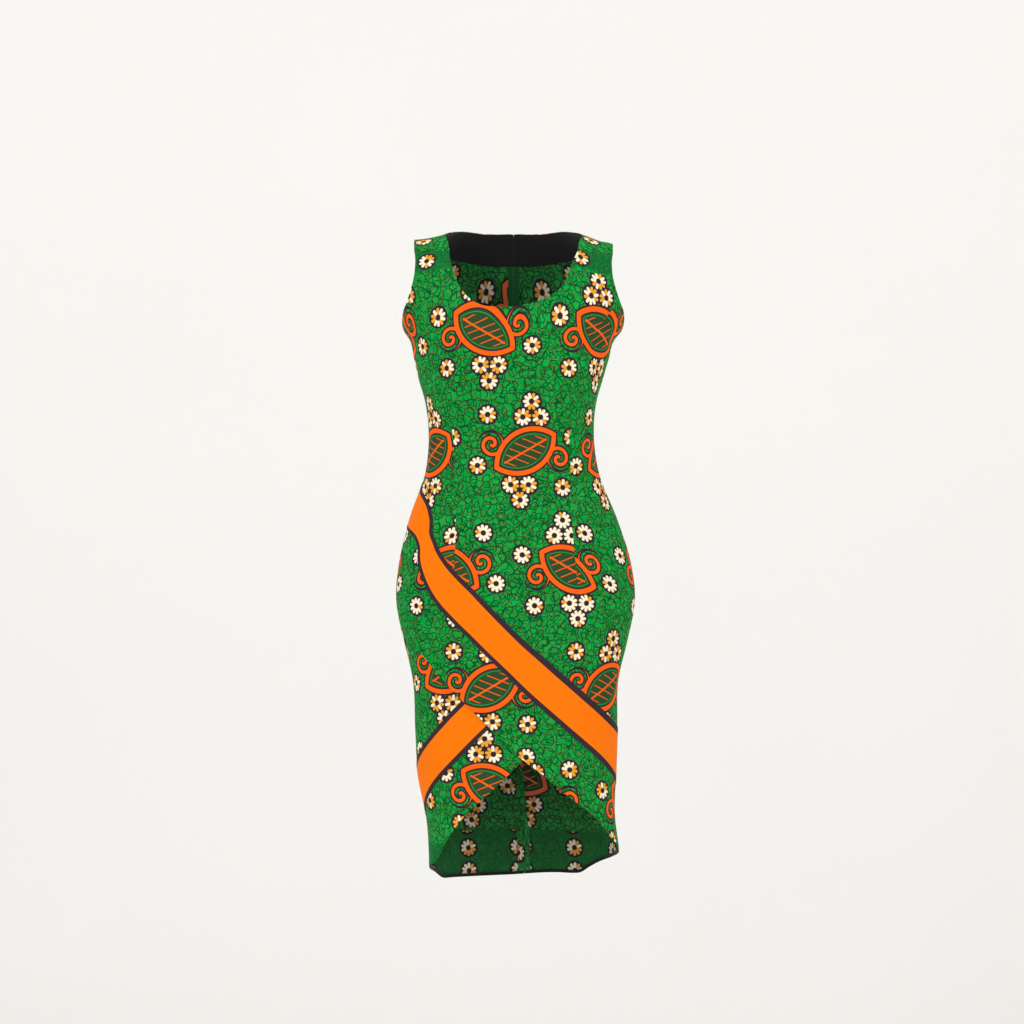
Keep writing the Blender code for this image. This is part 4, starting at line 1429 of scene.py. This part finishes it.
class DRESS_OT_seam_insides(bpy.types.Operator):
    """Make the seam allowances and the zip's tape, which show inside the back"""
    bl_idname = "dress.seam_insides"
    bl_label = "Seam allowances"

    def execute(self, context):
        sizes = context.scene.dress_cloth
        layers = allowance_layers(sizes)
        half, tape_half = sizes.allowance / GIRTH, sizes.zip_tape / GIRTH
        hem = edge_across(BACK_HEM, BACK)
        foot = float(np.interp(0.0, hem[:, 0], hem[:, 1])) + EDGE_MARGIN
        middle = line((0.0, ZIP_FOOT), (0.0, foot))
        piece = strip(
            "centre_allowance", BACK, (-half, half), (foot, ZIP_FOOT), layers, wax_print(), [middle]
        )
        settle(piece, None)
        green = plain_cotton("Zip tape", *rgb(*ZIP_TAPE_GREEN))
        top = BACK_NECK_EDGE[-1][1] - EDGE_MARGIN
        tape = strip("zip_tape", BACK, (-tape_half, tape_half), (ZIP_FOOT, top), layers, green)
        settle(tape, None)
        for word, turn, hem in (("left", -1, BACK_HEM[0]), ("right", 1, BACK_HEM[2])):
            ends = sorted((turn * (1.0 - half), turn * 1.0))
            rows = (hem + EDGE_MARGIN, SIDE_TOP - EDGE_MARGIN)
            piece = strip("side_allowance_" + word, BACK, ends, rows, layers, wax_print())
            settle(piece, None)
        return {"FINISHED"}


class DRESS_OT_hem_shade_strips(bpy.types.Operator):
    """Make the near-black strips inside the hems, painted shade of the turned-up hems"""
    bl_idname = "dress.hem_tapes"
    bl_label = "Hem shade strips"

    def execute(self, context):
        sizes = context.scene.dress_cloth
        # Near-black strips along the insides of the hems, front and back: painted shade of the turned-up
        # hems
        dark = plain_cotton("Painted hem shade", *rgb(*HEM_SHADE_DARK))
        cut = front_cut()
        hem = cut["over_hem"]
        near = -sizes.thickness - sizes.facing_gap
        faces = near, near - sizes.facing_thickness
        for name, layers, seams in (
            ("hem_shade_over", [level(face) for face in faces], cut["over_seams"]),
            ("hem_shade_under", [under_layer(face, hem) for face in faces], cut["under_seams"]),
        ):
            tape = cloth(
                name, cut["sheet"], cut["outlines"][name], FRONT,
                [dipped(layer, seams) for layer in layers], paper_of, dark,
            )
            settle(tape, None)
        for word, turn in SIDES:
            cut = back_cut(turn)
            tape = cloth(
                "hem_shade_back_" + word, cut["sheet"], cut["outlines"][2], BACK,
                [level(face) for face in facing_layers(sizes)], paper_of, dark,
            )
            settle(tape, None)
        return {"FINISHED"}


def stitch_tree():
    """Geometry Nodes that lay stitches along a curve."""
    tree = bpy.data.node_groups.new("Stitches", "GeometryNodeTree")
    for name, way, kind in (
        ("Geometry", "INPUT", "Geometry"),
        ("Pitch", "INPUT", "Float"),
        ("Length", "INPUT", "Float"),
        ("Thread", "INPUT", "Float"),
        ("Along", "INPUT", "Float"),
        ("Across", "INPUT", "Vector"),
        ("Material", "INPUT", "Material"),
        ("Geometry", "OUTPUT", "Geometry"),
    ):
        tree.interface.new_socket(name, in_out=way, socket_type="NodeSocket" + kind)
    given = tree.nodes.new("NodeGroupInput").outputs
    feeds = {"Curve": given["Geometry"], "Length": given["Pitch"]}
    points = fed_node(tree, "GeometryNodeCurveToPoints", feeds, mode="LENGTH").outputs
    feeds = {"Segments": STITCH_SIDES, "Rings": STITCH_RINGS, "Radius": 1.0}
    ball = fed_node(tree, "GeometryNodeMeshUVSphere", feeds)
    feeds = {0: points["Tangent"], "Scale": given["Along"]}
    along = fed_node(tree, "ShaderNodeVectorMath", feeds, operation="SCALE")
    lean = fed_node(tree, "ShaderNodeVectorMath", {0: along.outputs[0], 1: given["Across"]})
    feeds = {"Vector": lean.outputs[0]}
    turn = fed_node(tree, "FunctionNodeAlignRotationToVector", feeds, axis="X")
    half = fed_node(tree, "ShaderNodeMath", {0: given["Length"], 1: 0.5}, operation="MULTIPLY")
    size = vector_of(tree, half.outputs[0], given["Thread"], given["Thread"])
    feeds = {
        "Points": points["Points"], "Instance": ball.outputs["Mesh"], "Rotation": turn.outputs[0],
        "Scale": size,
    }
    laid = fed_node(tree, "GeometryNodeInstanceOnPoints", feeds)
    real = fed_node(tree, "GeometryNodeRealizeInstances", {0: laid.outputs[0]})
    feeds = {0: real.outputs[0], "Material": given["Material"]}
    dyed = fed_node(tree, "GeometryNodeSetMaterial", feeds)
    fed_node(tree, "NodeGroupOutput", {0: dyed.outputs[0]})
    return tree


def stitched(name, paths, material, **sizes):
    """Mesh of stitches along paths, each a list of points."""
    curve = bpy.data.curves.new(name + "_path", "CURVE")
    curve.dimensions = "3D"
    for path in paths:
        spline = curve.splines.new("POLY")
        spline.points.add(len(path) - 1)
        spline.points.foreach_set("co", np.column_stack([path, np.ones(len(path))]).ravel())
    guide = bpy.data.objects.new(name + "_path", curve)
    bpy.context.scene.collection.objects.link(guide)
    tree = bpy.data.node_groups.get("Stitches") or stitch_tree()
    change = guide.modifiers.new("Stitches", "NODES")
    change.node_group = tree
    inputs = [item for item in tree.interface.items_tree if item.in_out == "INPUT"]
    identifiers = {item.name: item.identifier for item in inputs}
    for label, value in {**sizes, "Material": material}.items():
        change[identifiers[label]] = value
    evaluated = guide.evaluated_get(bpy.context.evaluated_depsgraph_get())
    mesh = bpy.data.meshes.new_from_object(evaluated)
    mesh.name = name
    mesh.shade_smooth()
    if not mesh.materials:
        mesh.materials.append(material)
    piece = bpy.data.objects.new(name, mesh)
    bpy.context.scene.collection.objects.link(piece)
    bpy.data.objects.remove(guide)
    return piece


def on_skin(curve, side, layer):
    """Points of a curve on a layer of the cloth."""
    across, height = curve[:, 0], curve[:, 1]
    base, normals = skin(across, height, side), outward(across, height, side)
    return base + normals * layer(curve)[:, None]


def sewn_line(edge, inset, side, layer=level(0.0)):
    """Points of a seam that runs at a distance from an edge."""
    return on_skin(shifted(edge, inset, side), side, layer)


class DRESS_OT_sewing(bpy.types.Operator):
    """Sew the bands, the hems, the neck and the armholes"""
    bl_idname = "dress.sewing"
    bl_label = "Stitches"

    def execute(self, context):
        cloth_sizes, sewing = context.scene.dress_cloth, context.scene.dress_sewing
        dark = thread("Dark thread", *sewing.dark_thread)
        green = thread("Green thread", *sewing.green_thread)
        cut = front_cut()
        hem = cut["over_hem"]
        even = {"Pitch": sewing.pitch, "Length": sewing.stitch, "Thread": sewing.thread, "Along": 1.0}
        band_top = cloth_sizes.band_lift + cloth_sizes.band_thickness
        for name, top, foot, borders, layer in (
            ("band_over", OVER_BAND_TOP, OVER_BAND_FOOT, OVER_BAND_BORDERS, level(band_top)),
            (
                "band_under", UNDER_BAND_TOP, UNDER_BAND_FOOT, UNDER_BAND_BORDERS,
                under_layer(band_top, hem),
            ),
        ):
            top, foot = edge_across(top, FRONT), edge_across(foot, FRONT)
            seams = [
                sewn_line(top, widths(borders[0], top) - sewing.band_inset, FRONT, layer),
                sewn_line(foot, sewing.band_inset - widths(borders[1], foot), FRONT, layer),
            ]
            piece = stitched(name + "_stitches", seams, dark, **even)
            settle(piece, None)
        inset, hem_inset = sewing.edge_inset, sewing.hem_inset
        edges = [sewn_line(cut["neck"], -inset, FRONT)]
        for armhole, way in zip(cut["armholes"], (-1, 1)):
            edges.append(sewn_line(armhole, way * inset, FRONT))
        hems = [
            sewn_line(hem, hem_inset, FRONT),
            sewn_line(cut["under_hem"], hem_inset, FRONT, under_layer(0.0, hem)),
        ]
        for turn in (-1, 1):
            back = back_cut(turn)
            edges.append(sewn_line(back["neck"], -turn * inset, BACK))
            edges.append(sewn_line(back["armhole"], turn * inset, BACK))
            hems.append(sewn_line(back["hem"], -turn * hem_inset, BACK))
        piece = stitched("edge_stitches", edges, green, **even)
        settle(piece, None)
        piece = stitched(
            "hem_stitches", hems, green,
            Pitch=sewing.hem_pitch, Length=sewing.stitch * HEM_STITCH_SHARE,
            Thread=sewing.thread * HEM_THREAD_SHARE, Along=1.0,
        )
        settle(piece, None)
        return {"FINISHED"}


class DRESS_OT_zip(bpy.types.Operator):
    """Make the concealed zip's coil, and finish its slider and pull"""
    bl_idname = "dress.zip"
    bl_label = "Concealed zip"

    def execute(self, context):
        cloth_sizes, sewing = context.scene.dress_cloth, context.scene.dress_sewing
        near = allowance_layers(cloth_sizes)[1] - cloth_sizes.facing_gap
        path = line((0.0, ZIP_TOP), (0.0, ZIP_FOOT))
        coil = stitched(
            "zip_coil", [on_skin(path, BACK, level(near))],
            thread("Zip coil", *rgb(*COIL_GREEN)),
            Pitch=sewing.tooth_pitch, Length=sewing.tooth, Thread=COIL_THREAD, Along=0.0,
            Across=(1.0, 0.0, 0.0),
        )
        settle(coil, None)
        for name in ("zip_slider", "zip_pull"):
            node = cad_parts[name]
            node.data.materials.clear()
            node.data.materials.append(zip_enamel())
        return {"FINISHED"}


class DRESS_OT_declare(bpy.types.Operator):
    """Step that leaves the scene as it is"""
    bl_idname = "dress.declare"
    bl_label = "Cut sizes"

    def execute(self, context):
        return {"FINISHED"}


class DRESS_OT_stage(bpy.types.Operator):
    """Make the floor, the backdrop, the lights and the camera"""
    bl_idname = "dress.stage"
    bl_label = "Stage"

    def execute(self, context):
        scene, sizes = context.scene, context.scene.dress_stage
        camera_data = bpy.data.cameras.new("Camera")
        camera_data.sensor_width = 36.0
        camera_data.lens = camera_data.sensor_width * sizes.distance / sizes.frame_width
        camera_data.shift_y = sizes.lens_shift
        camera = bpy.data.objects.new("Camera", camera_data)
        camera.location = (sizes.camera_side, -sizes.distance, sizes.camera_height)
        camera.rotation_euler = (math.pi / 2, 0.0, 0.0)
        scene.collection.objects.link(camera)
        scene.camera = camera
        self.backdrop(scene, sizes)
        self.lights(scene)
        scene.view_settings.view_transform = "Standard"
        return {"FINISHED"}

    def backdrop(self, scene, sizes):
        """Seamless sweep from the floor up the wall."""
        profile = [(SWEEP_FRONT, 0.0)]
        for step in range(SWEEP_STEPS + 1):
            turn = math.pi / 2 * step / SWEEP_STEPS
            y = SWEEP_BACK - SWEEP_BEND + SWEEP_BEND * math.sin(turn)
            profile.append((y, SWEEP_BEND - SWEEP_BEND * math.cos(turn)))
        profile.append((SWEEP_BACK, SWEEP_TOP))
        verts = [(x, y, sizes.floor + z) for x in (-SWEEP_HALF, SWEEP_HALF) for y, z in profile]
        count = len(profile)
        faces = [(i, i + count, i + count + 1, i + 1) for i in range(count - 1)]
        mesh = bpy.data.meshes.new("backdrop")
        mesh.from_pydata(verts, [], faces)
        mesh.shade_smooth()
        paper, tree, shader = new_material("Backdrop paper", roughness=0.9)
        grain = noise(tree, object_place(tree), PAPER_SCALE, 2.0) * PAPER_GRAIN + PAPER_LEAST
        tree.links.new(adjusted(tree, sizes.paper, Value=grain), shader.inputs["Base Color"])
        shader.inputs["Specular IOR Level"].default_value = 0.0
        mesh.materials.append(paper)
        made = bpy.data.objects.new("backdrop", mesh)
        scene.collection.objects.link(made)

    def lights(self, scene):
        """Large soft lights either side of the camera and above, and a bright, even room."""
        for name, place_at, aim, size, power in LIGHTS:
            data = bpy.data.lights.new(name, "AREA")
            data.size = size
            data.energy = power
            made = bpy.data.objects.new(name, data)
            made.location = place_at
            way = Vector(aim) - Vector(place_at)
            made.rotation_euler = way.to_track_quat("-Z", "Y").to_euler()
            scene.collection.objects.link(made)
        world = scene.world or bpy.data.worlds.new("World")
        scene.world = world
        world.use_nodes = True
        sky = world.node_tree.nodes["Background"]
        sky.inputs["Color"].default_value = (*rgb(*ROOM_WHITE), 1.0)
        sky.inputs["Strength"].default_value = ROOM_STRENGTH


class DRESS_PT_panel(bpy.types.Panel):
    """Buttons for the dress in the 3D view's sidebar"""
    bl_idname = "DRESS_PT_panel"
    bl_label = "Wax print dress"
    bl_space_type = "VIEW_3D"
    bl_region_type = "UI"
    bl_category = "Dress"

    def draw(self, context):
        for operator in OPERATORS:
            self.layout.operator(operator.bl_idname)


GROUPS = {
    "dress_cloth": ClothSizes,
    "dress_print": PrintLooks,
    "dress_band": BandLooks,
    "dress_sewing": SewingSizes,
    "dress_stage": StageSizes,
}
OPERATORS = (
    DRESS_OT_front,
    DRESS_OT_bands,
    DRESS_OT_backs,
    DRESS_OT_seam_insides,
    DRESS_OT_hem_shade_strips,
    DRESS_OT_sewing,
    DRESS_OT_zip,
    DRESS_OT_declare,
    DRESS_OT_stage,
)


def register():
    for item in (*GROUPS.values(), *OPERATORS, DRESS_PT_panel):
        bpy.utils.register_class(item)
    for name, group in GROUPS.items():
        setattr(bpy.types.Scene, name, PointerProperty(type=group))


def unregister():
    for name in GROUPS:
        delattr(bpy.types.Scene, name)
    for item in reversed((*GROUPS.values(), *OPERATORS, DRESS_PT_panel)):
        bpy.utils.unregister_class(item)


def main():
    register()
    bpy.ops.dress.front()
    bpy.ops.dress.bands()
    bpy.ops.dress.backs()
    bpy.ops.dress.seam_insides()
    bpy.ops.dress.hem_tapes()
    bpy.ops.dress.sewing()
    bpy.ops.dress.zip()
    bpy.ops.dress.declare()
    bpy.ops.dress.stage()


if __name__ == "__main__":
    main()
